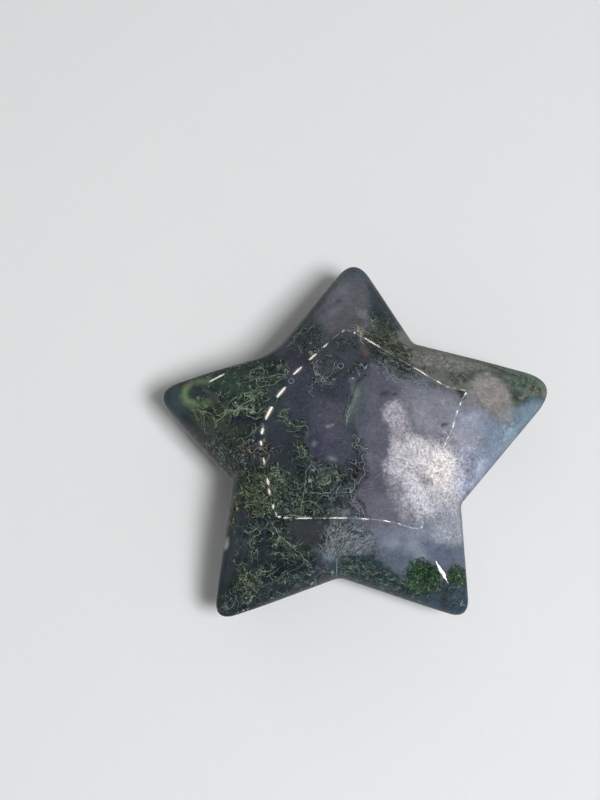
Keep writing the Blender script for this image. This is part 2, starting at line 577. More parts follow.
# %% Soft strokes over the ground
SMUDGES = [  # colour, strength, half its width, how soft its edge is, corners
    ((82, 102, 74), 0.9, 0.8, 0.6, [(-27.6, 9), (-29, 9.1), (-30.6, 8.8), (-31.5, 7.8), (-31.8, 6.4),
                                    (-31.2, 5.3), (-29.9, 4.5), (-28.4, 4.4), (-27.3, 4.7)]),
    ((104, 124, 92), 0.8, 0.3, 0.5,
     [(-31.2, 8.1), (-31.7, 7), (-31.4, 5.8), (-30.6, 5.1), (-29.6, 4.8)]),
    ((112, 82, 58), 0.6, 0.3, 0.5, [(-31.4, 8.7), (-30.7, 8.6)]),
    ((48, 62, 58), 0.7, 0.5, 0.7, [(-30.2, 7), (-28.6, 6.4)]),
    ((86, 84, 72), 0.75, 0.25, 0.5, [(-28.3, 7.4), (-26.6, 6), (-25.4, 5), (-24.2, 3.6), (-23.6, 2.8)]),
    ((78, 80, 68), 0.6, 0.5, 0.7, [(-26.6, 4.4), (-24.8, 3), (-23, 2.3)]),
    ((60, 68, 58), 0.6, 0.5, 0.8, [(-26, 0), (-23.5, -0.6), (-21, -1.2), (-20, -1)]),
    ((92, 96, 86), 0.6, 0.2, 0.35, [(-21, -7), (-19.8, -6.2)]),
    ((76, 100, 80), 0.8, 0.35, 0.5, [(-14, 11.2)]),
    ((90, 110, 96), 0.8, 0.3, 0.35, [(-13.8, 1.5), (-13, 1.9), (-13.1, 1.3)]),
    ((106, 120, 112), 0.8, 0.4, 0.6, [(0.1, 6), (-0.5, 4.4), (-1.1, 2.7), (-1.6, 0.9), (-1.9, -0.3)]),
    ((80, 94, 92), 0.5, 0.7, 1.0, [(0.9, 6.4), (0.6, 4), (-0.1, 1.6), (-0.6, -1)]),
    ((38, 44, 50), 0.75, 0.12, 0.3, [(0.4, 7.8), (-0.3, 6.2), (-1.1, 4.6), (-1.8, 2.8), (-2.2, 1.4)]),
    ((52, 52, 66), 0.85, 0.4, 0.7, [(4.4, 4.9), (5.3, 5.0)]),
    ((58, 60, 70), 0.95, 0.3, 0.35, [(15.4, -0.8), (16, -0.2)]),
    ((90, 94, 108), 0.6, 0.2, 0.5, [(22.2, -2.8), (22.8, -2.5)]),
    ((178, 178, 184), 0.9, 0.25, 0.35, [(15.4, 3.8)]),
    ((128, 126, 134), 0.8, 0.35, 0.6, [(-7.7, -4.4)]),
    ((132, 136, 144), 0.85, 0.45, 0.7, [(-4.7, -7.4)]),
    ((134, 134, 142), 0.85, 0.2, 0.3, [(-5.4, -1.2), (-4.7, -0.9)]),
    ((50, 58, 64), 0.8, 0.25, 0.5, [(-3.3, 24.4), (-2.6, 24.6)]),
    ((58, 65, 71), 0.7, 0.3, 0.7, [(-5, 23.2), (-3.8, 23.5)]),
    ((66, 62, 64), 0.6, 0.2, 0.5, [(-0.8, 20.5), (0.6, 20.1)]),
    ((84, 88, 64), 0.7, 0.15, 0.4, [(5.8, 21.4), (5.9, 19), (5.8, 17.4)]),
    ((74, 82, 68), 0.5, 0.15, 0.4, [(4.9, 21), (5, 18.4)]),
    ((134, 132, 118), 0.85, 0.35, 0.45, [(0.6, 18.3), (0.8, 17.4), (0.9, 16.4)]),
    ((128, 126, 112), 0.7, 0.15, 0.4, [(1.2, 17.5), (2.3, 17.6)]),
    ((106, 88, 68), 0.7, 0.35, 0.6, [(1.5, 14), (2, 13.1)]),
    ((98, 96, 92), 0.6, 0.3, 0.6, [(0.9, 15.6), (1.2, 14.6)]),
    ((88, 84, 58), 0.8, 0.15, 0.3, [(2.4, 16.5), (4.8, 15.4), (7.6, 13.9)]),
    ((46, 50, 34), 0.8, 0.15, 0.3, [(2.2, 16.9), (3.8, 16.3), (5.6, 15.2), (7.8, 14.2)]),
    ((44, 54, 40), 0.8, 0.2, 0.4, [(4.7, 12.2), (6.4, 11), (8.3, 9.8)]),
    ((52, 46, 36), 0.9, 0.4, 0.3, [(18.7, 6.0), (19.3, 5.6), (19.3, 5.1)]),
    ((84, 80, 72), 0.75, 0.2, 0.4, [(21.7, 7.8), (22, 7.4)]),
    ((104, 106, 92), 0.7, 0.4, 0.5, [(23, 6.4), (23.2, 5.2)]),
    ((110, 110, 100), 0.6, 0.4, 0.5, [(26.8, 4.8), (27.2, 4.2)]),
    ((100, 90, 80), 0.6, 0.2, 0.5, [(28.8, 6.6)]),
    ((40, 42, 34), 0.9, 0.2, 0.35, [(24.6, 12), (25.8, 11.6), (27.2, 10.7), (28.4, 10.2), (30, 10.1)]),
    ((80, 106, 64), 0.7, 0.4, 0.6, [(32.4, 9.6), (33.8, 8.9)]),
    ((56, 82, 62), 0.8, 0.2, 0.4, [(34.4, 8.2), (34.2, 7.2)]),
    ((66, 104, 90), 0.7, 0.3, 0.5, [(32.6, 6.5), (33.6, 6.6)]),
    ((78, 100, 62), 0.85, 0.4, 0.4, [(29.4, 4.9), (30.2, 5.5)]),
    ((36, 50, 30), 0.8, 0.15, 0.3, [(29.7, 5.6), (30.4, 5.2)]),
    ((150, 160, 142), 0.8, 0.12, 0.3, [(30.3, 5.7), (31.2, 6.5)]),
    ((26, 28, 28), 1.0, 0.55, 0.35, [(-0.2, -9), (-0.4, -9.9), (-0.6, -10.8)]),
    ((86, 92, 76), 0.7, 0.35, 0.5, [(0.4, -18.6), (0.5, -19.1)]),
    ((56, 62, 54), 0.7, 0.12, 0.3, [(0.4, -18.9)]),
    ((88, 92, 78), 0.7, 0.3, 0.5, [(-7.7, -23), (-7.1, -23.1)]),
    ((58, 60, 66), 0.7, 0.4, 0.7, [(-10.6, 13), (-9, 14.6)]),
    ((38, 48, 46), 0.8, 0.12, 0.3, [(-7.4, 17.6), (-7.1, 16.4), (-6.7, 15.5), (-6, 14.9)]),
    ((40, 48, 48), 0.8, 0.12, 0.3, [(-2.8, 16.2)]),
    ((40, 48, 48), 0.8, 0.12, 0.3, [(-1.2, 16.2)]),
    ((34, 40, 40), 0.9, 0.3, 0.4, [(-0.2, 11.1), (0.3, 11.1)]),
    ((32, 38, 40), 0.9, 0.2, 0.35, [(0.6, 7.8)]),
    ((34, 34, 42), 1.0, 0.25, 0.3, [(6.6, 4.8)]),
    ((66, 66, 76), 0.7, 0.1, 0.3, [(18.4, 4.1)]),
    ((62, 58, 50), 0.7, 0.15, 0.4, [(15, 13.4)]),
    ((62, 60, 52), 0.7, 0.2, 0.4, [(17.3, 12.2)]),
    ((52, 56, 46), 0.8, 0.15, 0.35, [(18.4, 9.8)]),
    ((64, 62, 52), 0.7, 0.2, 0.4, [(17.4, 8.7)]),
    ((166, 172, 158), 0.9, 0.25, 0.3, [(-22, -8.7)]),
    ((150, 156, 150), 0.95, 0.4, 0.35, [(-23.6, -20.6), (-23.7, -21.8)]),
    ((180, 192, 180), 0.9, 0.15, 0.25, [(-27.6, 4)]),
    ((170, 184, 176), 0.9, 0.1, 0.25, [(-13.4, -27.4)]),
    ((190, 200, 190), 0.9, 0.12, 0.25, [(-13.5, -28.5)]),
]

for colour, strength, half_width, softness, corners in SMUDGES:
    away = np.abs(distance_to(corners, ragged * 0.5 + plan * 0.5, half_width + softness))
    share = strength * smooth_step(away, half_width + softness, half_width - softness)[:, None]
    ground = ground * (1 - share) + seen(*colour) * share
print(len(SMUDGES), "soft strokes")

# %% [markdown]
# ### The moss
# The moss stands in clumps. Each dab says where a clump is and how thickly it grows, and
# has a tint: yellow-green in the left, blue-green along the lower walls, grey-white where
# the threads are thin, vivid at the lower right tip.

# %% Where moss grows
YELLOW_GREEN, PALE_GREEN, GREY_GREEN = (122, 134, 108), (118, 136, 120), (100, 116, 108)
BLUE_GREEN, GREY_WHITE, VIVID, BEIGE = (92, 111, 107), (118, 126, 132), (80, 114, 76), (118, 118, 111)
MOSS = [  # x, y, half width, half height, turn, thickness, tint
    (-22, 4, 11.0, 9.0, 8, 0.22, GREY_GREEN), (-19.5, 3.5, 4.8, 3.4, 8, 0.7, PALE_GREEN),
    (-26, 2.5, 5.4, 2.4, -12, 0.5, YELLOW_GREEN), (-17, 9, 5.8, 3.6, 12, 0.6, GREY_GREEN),
    (-23, 11.5, 6.5, 1.6, 14, 0.6, GREY_GREEN), (-14, 11, 1.8, 1.6, 0, 0.9, PALE_GREEN),
    (-13.5, 1, 2.0, 1.5, 0, 0.7, GREY_GREEN), (-11.5, -1, 2.2, 1.5, -20, 0.5, GREY_GREEN),
    (-25, -4, 3.4, 2.4, -35, 0.9, GREY_GREEN), (-18.5, -5, 4.6, 3.2, 0, 0.7, BEIGE),
    (-24, -2, 8.0, 5.0, -20, 0.2, BEIGE), (-21.5, -8, 3.4, 4.0, 0, 0.7, GREY_GREEN),
    (-16.5, -13, 5.8, 6.0, 0, 1.05, YELLOW_GREEN), (-14, -12.5, 3.4, 4.4, 15, 1.0, BLUE_GREEN),
    (-13, -16, 5.0, 2.6, 0, 1.0, GREY_GREEN), (-22.4, -15.5, 1.8, 4.4, 5, 0.8, YELLOW_GREEN),
    (-9.9, -5.8, 1.6, 4.0, 12, 0.65, GREY_GREEN), (-10.5, -1.4, 2.4, 2.0, 0, 0.55, GREY_GREEN),
    (-7.4, -8.8, 4.4, 2.4, -15, 0.85, GREY_WHITE), (-5.6, -11, 3.6, 2.6, 15, 1.05, GREY_GREEN),
    (-8, -14.5, 4.4, 4.4, 0, 0.85, GREY_GREEN), (-3.5, -14, 3.8, 4.4, 0, 0.85, GREY_WHITE),
    (-12, -7, 4.0, 5.5, 0, 0.22, GREY_GREEN), (-10, -12, 3.0, 4.0, 0, 0.6, GREY_GREEN),
    (-16, -22, 9.0, 8.0, 0, 0.18, GREY_GREEN), (-18.3, -20.8, 2.0, 4.4, 5, 0.8, BLUE_GREEN),
    (-14.5, -20.5, 2.0, 4.0, -10, 0.7, PALE_GREEN), (-11.3, -23.2, 4.2, 2.8, -30, 1.0, GREY_GREEN),
    (-15, -27, 4.4, 1.9, -20, 0.75, GREY_GREEN), (-20, -28.6, 3.2, 2.8, 30, 1.1, YELLOW_GREEN),
    (-21.5, -31, 6.2, 2.6, 20, 0.9, BLUE_GREEN), (-21, -25.6, 2.0, 1.4, 0, 0.6, BLUE_GREEN),
    (-13, -29.5, 7.0, 2.4, 22, 0.5, BLUE_GREEN), (-7, -28, 4.0, 3.0, 20, 0.3, GREY_WHITE),
    (-1.5, -25.6, 3.4, 2.2, -30, 0.8, BLUE_GREEN), (4.0, -29, 6.0, 2.5, -32, 0.9, BLUE_GREEN),
    (9.6, -31.6, 5.6, 2.2, -30, 0.7, BLUE_GREEN), (11.6, -27.6, 4.0, 3.6, 0, 1.25, VIVID),
    (18.2, -27.4, 2.8, 2.2, 0, 1.25, VIVID), (16, -30.5, 5.0, 3.0, -20, 0.45, BLUE_GREEN),
    (6, 14, 6.0, 2.8, -28, 0.7, BEIGE), (8, 10.5, 5.6, 2.4, -30, 0.6, GREY_WHITE),
    (12, 12, 5.0, 3.4, -20, 0.25, BEIGE), (18.4, 8.8, 2.4, 2.2, 0, 0.3, BEIGE),
    (-9.5, 17, 4.4, 5.0, 50, 0.4, GREY_GREEN), (-2, 15.5, 4.4, 2.4, 0, 0.3, GREY_GREEN),
    (5, 19, 3.0, 5.0, 20, 0.4, YELLOW_GREEN), (-6, 9, 4.5, 5.0, 0, 0.25, GREY_WHITE),
    (31, 8.5, 4.6, 3.2, 0, 0.22, YELLOW_GREEN), (22, 13.5, 9.0, 2.4, -14, 0.15, BEIGE),
    (28, 0, 3.0, 4.0, 0, 0.1, GREY_WHITE),
    (0.4, -5.2, 2.2, 2.0, -30, 0.6, GREY_WHITE), (-0.5, -9.6, 2.6, 3.6, 0, 0.5, GREY_WHITE),
    (0.6, 9.4, 2.4, 2.2, 0, 0.7, GREY_WHITE), (-2.5, -21, 6.0, 4.2, 8, 0.4, GREY_WHITE),
    (1, -22.8, 4.0, 1.6, -15, 0.3, GREY_WHITE), (-0.5, -17, 2.4, 3.0, 0, 0.5, GREY_WHITE),
]

moss = np.zeros(len(points))
tint = np.tile(seen(*GREY_GREEN), (len(points), 1)) * 0.02
tint_weight = np.full(len(points), 0.02)
for x, y, half_width, half_height, turn, thick, colour in MOSS:
    share = smooth_step(dab(x, y, half_width, half_height, turn), 0.0, 0.45) * thick
    moss = np.maximum(moss, share)
    tint += seen(*colour) * (share**2)[:, None]
    tint_weight += share**2
tint /= tint_weight[:, None]
print(len(MOSS), "clumps of moss; share of the skin that has some:",
      round(float((moss > 0.1).mean()), 2))

# %% [markdown]
# ### The other kinds of marking
# White quartz fills the right of the middle as a mass of fine fibres. Beige grains lie in
# the right arm. Wavy lines, like the contour lines of a map, follow the green band and fill
# the smoky middle. Feathery strokes fan out from the lower notch, and moss lies in slanting
# streaks along the lower right wall.

# %% The quartz
QUARTZ = (171, 170, 178)
WHITES = [
    ("its tongue", (156, 155, 163), 2.5, [(4, 4.5), (10, 4.5), (11, -2), (9, -4.5), (4, -4)]),
    ("its bright middle", (194, 192, 199), 4.0,
     [(7, -5), (11, -3), (17.5, -4.5), (20, -7), (18.5, -12), (15.5, -14), (11, -14), (8, -10)]),
    ("its brightest part", (222, 216, 217), 3.0,
     [(12.4, -10.6), (12.2, -7.2), (14, -5.4), (17.4, -6.2), (17.8, -9), (16.6, -12), (15.2, -13.6)]),
    ("a dark wedge below it", (146, 142, 150), 1.0,
     [(10.6, -10), (12.4, -10.4), (13, -11.6), (11.8, -11.2)]),
    ("a grey spot in it", (188, 178, 182), 0.8, [(14.8, -9.4), (15.8, -9.6), (15.4, -10.4)]),
    ("its lower part", (200, 201, 211), 3.5,
     [(8, -12.5), (15, -13.5), (14.5, -18.5), (11, -18.5), (8, -16)]),
    ("its right side", (164, 171, 192), 3.0, [(18.5, -4), (24, -4), (22.5, -12), (18.5, -13)]),
    ("its lower right side", (158, 164, 175), 3.0,
     [(14, -15.5), (21.5, -13), (20.5, -22), (13.5, -21.5)]),
]
whites = np.tile(seen(*QUARTZ), (len(points), 1))
for _, colour, feather, corners in WHITES:
    share = patch(corners, feather)[:, None]
    whites = whites * (1 - share) + seen(*colour) * share

quartz = 0.9 * patch(
    [(7.4, 4.0), (6.3, 3.5), (5.2, 2.8), (4.5, 1.5), (4.6, 0.2), (5.5, -0.9), (5.9, -2.4), (5.8, -4.4),
     (5.1, -6.4), (4.4, -8), (4.8, -9.4), (6.4, -10.6), (12, -12), (18, -7), (15.6, -4.4), (13.8, -3.2),
     (11.6, -2.5), (9.8, -1.8), (9.4, 0.5), (8.6, 2.4)], 2.2)
quartz = np.maximum(quartz, patch(
    [(8, -3), (14.5, -3.4), (18, -4.8), (20, -7), (20, -12), (18.6, -16), (15, -18.6), (12, -17.6),
     (9, -15),
     (7.4, -12), (6, -9)], 4.5))
quartz = np.maximum(quartz, 0.45 * patch(
    [(4.4, -9.5), (4.6, -13.6), (6, -16), (8.5, -18.5), (13, -19), (12, -9)], 4.0))
quartz = np.maximum(quartz, 0.55 * patch(
    [(12.5, -16), (19.5, -13), (20, -20), (17, -22.4), (13, -21)], 3.5))
quartz = np.maximum(quartz, 0.5 * patch([(15, -1.5), (22, -1.6), (24, -6), (22, -13), (16, -14)], 4.0))

# %% Grains, wavy lines, feathers and streaks
grain = patch(
    [(20.7, 8.5), (22.7, 9.8), (24.5, 10.3), (27, 8.8), (28.4, 7.2), (28.9, 5), (29, 1.6), (28, 0.2),
     (26.6, 0.6), (25.6, 1.8), (23.8, 2.6), (22.2, 3.5), (21.7, 6.4), (20.7, 7.3)], 2.4)
grain = np.maximum(grain, 0.6 * patch(
    [(9, 14.6), (16, 15), (26, 12.6), (25, 10.4), (19, 9.4), (10, 10)], 3.0))

swirl = patch(
    [(2.5, 13), (6.5, 12), (9.5, 9.5), (14, 8.6), (13.8, 6.4), (7.5, 6.6), (4.5, 8.6), (3, 11)], 1.0)
swirl = np.maximum(swirl, 0.6 * patch([(-8.8, 13), (-4, 14), (-3.5, 7), (-9.5, 4.5)], 2.0))
swirl = np.maximum(swirl, 0.55 * patch(
    [(-15, 11), (-6, 13), (-1.5, 6), (-1.6, -8), (-9, -8), (-14, 0)], 2.5))
swirl = np.maximum(swirl, 0.9 * patch(
    [(8.5, 15), (14, 14.5), (25, 12), (24, 10.5), (18, 9.5), (12.5, 9.2), (9, 12)], 1.5))
swirl = np.maximum(swirl, 0.6 * patch([(-10, 18.5), (-6, 19), (-5.5, 14.5), (-9, 14)], 1.5))
swirl = np.maximum(swirl, 0.5 * patch(
    [(-1.5, -12), (0.6, -12), (1.6, -18), (0, -20.5), (-4, -19), (-1.8, -15)], 1.2))

feathers = 0.7 * patch([(-6.6, -21), (-5, -18.6), (1, -19.2), (2.8, -21.5), (1, -23.4), (-6, -25)], 2.4)
streaks = patch(
    [(-2, -23.2), (2, -24.2), (5.8, -26.6), (10.8, -29.8), (14, -36), (-4, -36), (-3, -25)], 1.5)
band = patch(
    [(1.2, 17.6), (5, 18), (9.5, 16.4), (13, 13.6), (12, 10.6), (8, 9.2), (4.4, 11), (3, 13.6)], 1.4)
for name, share in (("quartz", quartz), ("grain", grain), ("swirl", swirl),
                    ("feathers", feathers), ("band", band)):
    print(name, "covers", round(float((share > 0.5).mean()), 3), "of the skin's points")

# %% [markdown]
# ### Lines drawn by hand
# The longest threads and the rings are what the eye finds again in this stone, so each is
# drawn as a line through a few points. What the mesh keeps is only the distance to the
# nearest line, which changes so evenly that the material can cut a crisp line out of it, finer
# than the mesh, and fainter echoes beside it. The side is kept too, as a sign: a distance
# that passes through nought between two points of the mesh tells exactly where the line runs.

# %% Lines and rings
LINE_REACH = 1.6
PALE, MOSSY, FADED, OLIVE = (134, 140, 148), (124, 145, 118), (106, 122, 108), (122, 135, 106)
DARK, CREAM, BRIGHT = (34, 42, 44), (150, 148, 134), (158, 174, 154)
LINES = [  # colour, strength, echo, corners
    (PALE, 0.7, 0.5,
     [(3.5, 11.8), (4.5, 10.9), (5.5, 9.6), (6.4, 8.2), (7, 7.5), (8, 7.2), (9.1, 7.1), (10.1, 7.5),
                      (11.2, 7.4), (12.4, 7.3), (13.4, 6.8)]),
    (PALE, 0.6, 0.5, [(4.4, 11.6), (5.6, 10.2), (6.6, 8.9), (7.4, 8), (8.6, 7.8), (10, 8.1), (11.4, 8)]),
    (FADED, 0.7, 0.4, [(5, 12), (6.4, 10.6), (7.6, 9.4), (9, 8.8), (10.8, 8.8)]),
    (PALE, 0.55, 0.3,
     [(-7.3, 11.9), (-7.2, 10.3), (-7.1, 9.2), (-6.5, 8.3), (-5.1, 8.4), (-4.4, 9.2), (-4.3, 10.3)]),
    (PALE, 0.45, 0.0, [(-7.9, 11.3), (-7.8, 9.9), (-7.4, 8.8)]),
    (PALE, 0.5, 0.2, [(-6.8, 8.1), (-7.8, 7.6), (-8.2, 6.7), (-8.3, 5.6), (-8.8, 5.4), (-7.8, 4.5)]),
    (PALE, 0.45, 0.2, [(-7.8, 7.2), (-6.6, 7.6), (-5.4, 7.4), (-4.4, 7)]),
    (PALE, 0.45, 0.0, [(-9.3, 17.8), (-8.2, 19)]),
    (FADED, 0.6, 0.3, [(-10.8, 15), (-10, 13.5)]),
    (CREAM, 0.8, 0.0, [(-0.2, 18.9), (0.3, 18.3), (0.8, 17.6), (1.4, 18.3), (1.8, 19)]),
    (CREAM, 0.8, 0.0, [(0.8, 17.6), (1.6, 17.7), (2.4, 17.4)]),
    (CREAM, 0.8, 0.0, [(0.6, 19.1), (0.7, 17.6), (0.8, 16.2), (1.1, 15.2)]),
    (CREAM, 0.7, 0.0, [(-0.6, 17.9), (0.8, 17.6)]),
    (OLIVE, 0.5, 0.3, [(2.6, 17.2), (4.6, 16.6), (7, 15.4), (9.6, 13.6), (11.8, 11.8)]),
    (OLIVE, 0.5, 0.3, [(2.4, 15.8), (5, 14.4), (8.4, 12.6), (10.6, 11.2)]),
    (PALE, 0.85, 0.0, [(-1.4, 2.8), (-1.7, 1.1), (-2.05, -0.8)]),
    (PALE, 0.45, 0.0, [(-0.7, 6.2), (-1.4, 4.4), (-1.9, 2.6), (-2.3, 0.6)]),
    (PALE, 0.7, 0.3, [(-1, -3), (-0.5, -3.8), (-1, -4.8), (0.1, -5.8), (1.3, -6.6), (2.3, -6.4)]),
    (PALE, 0.6, 0.3, [(-0.4, -2.9), (0.2, -3.9), (-0.2, -4.9), (0.9, -5.4), (1.9, -6)]),
    (PALE, 0.6, 0.0, [(0.5, -6.9), (1.1, -7.9), (1.1, -9), (0.9, -10.2), (0.2, -11.4), (-0.6, -12)]),
    (PALE, 0.4, 0.0, [(-1.2, -9), (-1.2, -10.2), (-0.7, -11.6)]),
    (BRIGHT, 0.75, 0.2, [(-0.6, -11.9), (-0.8, -12.6), (-1.4, -13.2)]),
    (PALE, 0.75, 0.3, [(-1.3, -13.7), (-1, -14.6), (0, -15.4), (0.6, -16.2), (1, -17.2), (0.8, -18.2)]),
    (PALE, 0.6, 0.3, [(-1.6, -15), (-0.6, -15.7), (0, -16.6), (0.2, -17.6)]),
    (PALE, 0.5, 0.0, [(1.8, -11.3), (2.4, -11.9), (2.6, -11.2)]),
    (PALE, 0.4, 0.0, [(3.2, -10.5), (4.2, -9.7)]),
    (PALE, 0.35, 0.0, [(1, -13), (2, -12.6), (2.9, -12.8)]),
    (FADED, 0.7, 0.5,
     [(-8.3, -8.5), (-7.1, -9.3), (-5.7, -8.9), (-4.5, -9.7), (-3.3, -10.3), (-2.5, -10.3)]),
    (MOSSY, 0.6, 0.3, [(-10.1, -4.3), (-9.7, -5.3), (-9.1, -6.7), (-8.3, -7.6)]),
    (MOSSY, 0.5, 0.3, [(-10.4, -4.6), (-10.5, -6), (-9.9, -7)]),
    (MOSSY, 0.6, 0.4, [(-12.1, -0.2), (-11.5, -1.1), (-10.8, -1.2), (-9.4, -1), (-8.8, -1.9)]),
    (FADED, 0.7, 0.3, [(-12.8, -1.6), (-11.9, -2), (-10.8, -1.8)]),
    (OLIVE, 0.65, 0.2,
     [(-9.4, -9.7), (-9.4, -10.9), (-9.6, -12.3), (-9.9, -13.9), (-10.1, -15.2), (-10.2, -16.8)]),
    (FADED, 0.8, 0.2, [(-12.9, -11.5), (-12.4, -12.4), (-11.1, -12.6), (-9.8, -12.2)]),
    (MOSSY, 0.8, 0.4, [(-14.9, -10.8), (-13.8, -10.8), (-13, -11.6), (-12.9, -12.6)]),
    (MOSSY, 0.8, 0.4, [(-6.4, -10.6), (-5.3, -10.3), (-4.9, -11.2), (-5.8, -12), (-6.8, -11.6)]),
    (MOSSY, 0.6, 0.2, [(-5.9, -11.5), (-5.4, -10.8)]),
    (BRIGHT, 0.65, 0.1, [(-8.3, -13.4), (-7.2, -13.3), (-6.3, -13.5), (-5.1, -13.1)]),
    (OLIVE, 0.75, 0.3, [(-9.9, -14.9), (-8.7, -14.7), (-7.8, -15.1), (-6.9, -15.8), (-6.3, -16.5)]),
    (FADED, 0.7, 0.3, [(-3, -12.2), (-2, -12.8), (-1.2, -12.4)]),
    (MOSSY, 0.8, 0.3,
     [(-14.9, -18.1), (-15.1, -18.8), (-14.4, -19.9), (-14.2, -20.8), (-14.6, -22.1), (-15.1, -22.3)]),
    (MOSSY, 0.8, 0.4,
     [(-14, -20.7), (-13.1, -21.4), (-12, -22.5), (-11.1, -23.2), (-10.2, -24), (-9.1, -25.1)]),
    (FADED, 0.7, 0.3, [(-12.4, -21.8), (-11, -22.4), (-9.9, -22)]),
    (FADED, 0.7, 0.3, [(-15.7, -23.7), (-14.3, -23.4), (-13.4, -23.9)]),
    (MOSSY, 0.8, 0.4, [(-19.1, -19.8), (-18.2, -19.4), (-17.6, -20.2), (-18.6, -20.8), (-19.3, -21.6)]),
    (FADED, 0.7, 0.3, [(-19.2, -21), (-19.1, -22.6), (-18.8, -24.8)]),
    (FADED, 0.7, 0.3, [(-17.6, -20), (-16.9, -19.2), (-16, -18.6)]),
    (FADED, 0.7, 0.2, [(-21.2, -25.6), (-20.6, -25), (-20, -25.5)]),
    (MOSSY, 0.8, 0.4, [(-17.6, -26.4), (-16.4, -26.8), (-15.4, -26.3)]),
    (FADED, 0.6, 0.2, [(-22.7, -18.7), (-21.1, -18.6), (-19.7, -18.9)]),
    (FADED, 0.4, 0.3,
     [(-18.4, -29.1), (-16.6, -29), (-15, -28.4), (-13.3, -27.4), (-11.5, -26.4), (-9, -25.3),
      (-6.6, -24)]),
    (PALE, 0.6, 0.2, [(-4, -24.2), (-3.8, -25.4), (-3.9, -26.9)]),
    (PALE, 0.6, 0.5, [(-5.7, -20.8), (-5.3, -19.4), (-4.9, -18.5)]),
    (PALE, 0.6, 0.5, [(-4.7, -21.2), (-3.7, -20.6), (-2.6, -20.3)]),
    (PALE, 0.6, 0.5, [(-5, -22), (-3.9, -21.3), (-2.2, -20.9), (-0.4, -20.8)]),
    (PALE, 0.6, 0.5, [(-5, -23), (-3.6, -22.2), (-1.6, -21.8), (0.2, -21.6)]),
    (PALE, 0.6, 0.5, [(-3.5, -23.4), (-2.2, -22.9), (-0.7, -22.3), (1.2, -22.2)]),
    (PALE, 0.5, 0.4, [(-6.9, -23.3), (-5.6, -22.8), (-4.6, -23.4)]),
    (OLIVE, 0.7, 0.4, [(-29.9, 3.4), (-28.4, 3.1), (-26.8, 2.3), (-25.9, 0.9), (-25.8, 0.1)]),
    (OLIVE, 0.7, 0.3, [(-28.6, 3), (-28.1, 2.2), (-27.9, 1.3)]),
    (OLIVE, 0.6, 0.3, [(-30.6, 3.9), (-29.8, 3.1), (-29.5, 2.2)]),
    (MOSSY, 0.85, 0.4,
     [(-25.9, 0.8), (-25.1, 1.2), (-23.9, 2.1), (-22.4, 2.7), (-21.4, 3.2), (-20.2, 4.1), (-19.1, 4.5),
                        (-18.1, 5.3), (-17.3, 6.1)]),
    (MOSSY, 0.7, 0.3, [(-24.2, 3.1), (-22.9, 2.8), (-22, 2.4)]),
    (BRIGHT, 0.75, 0.3, [(-21.6, 5), (-20.9, 5.4), (-20, 5.2), (-19.4, 5.4)]),
    (MOSSY, 0.75, 0.3, [(-23.6, 4.3), (-22.4, 5), (-21, 5.8), (-19.4, 6.1), (-18, 6.4)]),
    (MOSSY, 0.8, 0.4, [(-20.2, 2), (-19.7, 1.2), (-18.6, 0.8), (-17.5, 0.9)]),
    (MOSSY, 0.8, 0.4, [(-21, 2.8), (-19.6, 2.6), (-18.4, 2), (-17.4, 2.4)]),
    (MOSSY, 0.8, 0.3, [(-18.5, 8.6), (-18.2, 7.4), (-17.6, 6.6), (-17.2, 5.6), (-17.4, 4.6)]),
    (MOSSY, 0.75, 0.3, [(-18.5, 8.8), (-17, 8.6), (-15.6, 9), (-14.2, 9.4), (-13, 9.1)]),
    (MOSSY, 0.75, 0.3, [(-17.4, 6.8), (-16, 7.2), (-14.6, 7.6), (-13.4, 8.6)]),
    (FADED, 0.8, 0.4, [(-19.6, 9.2), (-19.5, 10.2), (-18.6, 10.8), (-17.2, 10.9), (-17.1, 9.8)]),
    (FADED, 0.6, 0.2, [(-21.8, 7.7), (-20, 8.3), (-18.6, 8.7)]),
    (MOSSY, 0.7, 0.2, [(-14.4, 1.3), (-13.6, 2), (-12.5, 2.3)]),
    (MOSSY, 0.6, 0.0, [(-14.4, 1.3), (-13.5, 0.9), (-12.9, 1.2)]),
    (MOSSY, 0.75, 0.3, [(-13.2, 0.6), (-12.2, -0.2), (-11.6, -0.9)]),
    (OLIVE, 0.75, 0.1, [(-18.3, -1.1), (-19.1, -1.9), (-20, -2.5)]),
    (CREAM, 0.7, 0.3, [(-19.8, -4.8), (-19.1, -5.6), (-18.3, -4.8), (-17.4, -4.9)]),
    (CREAM, 0.65, 0.3, [(-17.3, -5), (-16.3, -5.6), (-16, -6.6), (-16.6, -7.3), (-17.2, -7.9)]),
    (OLIVE, 0.7, 0.3, [(-21.6, -3), (-20.8, -2.9), (-20.6, -3.8), (-21.4, -4.2)]),
    (FADED, 0.7, 0.4, [(-26, -3.4), (-25, -4.4), (-24.2, -5.6)]),
    (FADED, 0.6, 0.4, [(-24.8, -3.2), (-24, -4.2)]),
    (DARK, 0.6, 0.0, [(-29.4, 3.9), (-28.2, 3.5), (-27, 2.9)]),
    (PALE, 0.35, 0.0, [(25.3, -5.3), (25.6, -4), (26.3, -3), (27.2, -2.9)]),
]
line_spots = plan + wander(plan, 1.6, 0.20, seed=21)
line_distance = np.full(len(points), LINE_REACH)
line_side = np.full(len(points), LINE_REACH)
line_ink = np.tile([*seen(*MOSSY), 0.0], (len(points), 1))
line_echo = np.zeros(len(points))


def lay(distance, colour, strength, echo):
    """Where a new line is the nearest one, it gives its distance, ink and strength."""
    wins = np.abs(distance) < line_distance
    line_distance[wins] = np.abs(distance)[wins]
    line_side[wins] = distance[wins]
    line_ink[wins] = (*seen(*colour), strength)
    line_echo[wins] = echo


def ring(colour, strength, x, y, radius):
    lay(np.hypot(*(plan - (x, y)).T) - radius, colour, strength, 0.0)


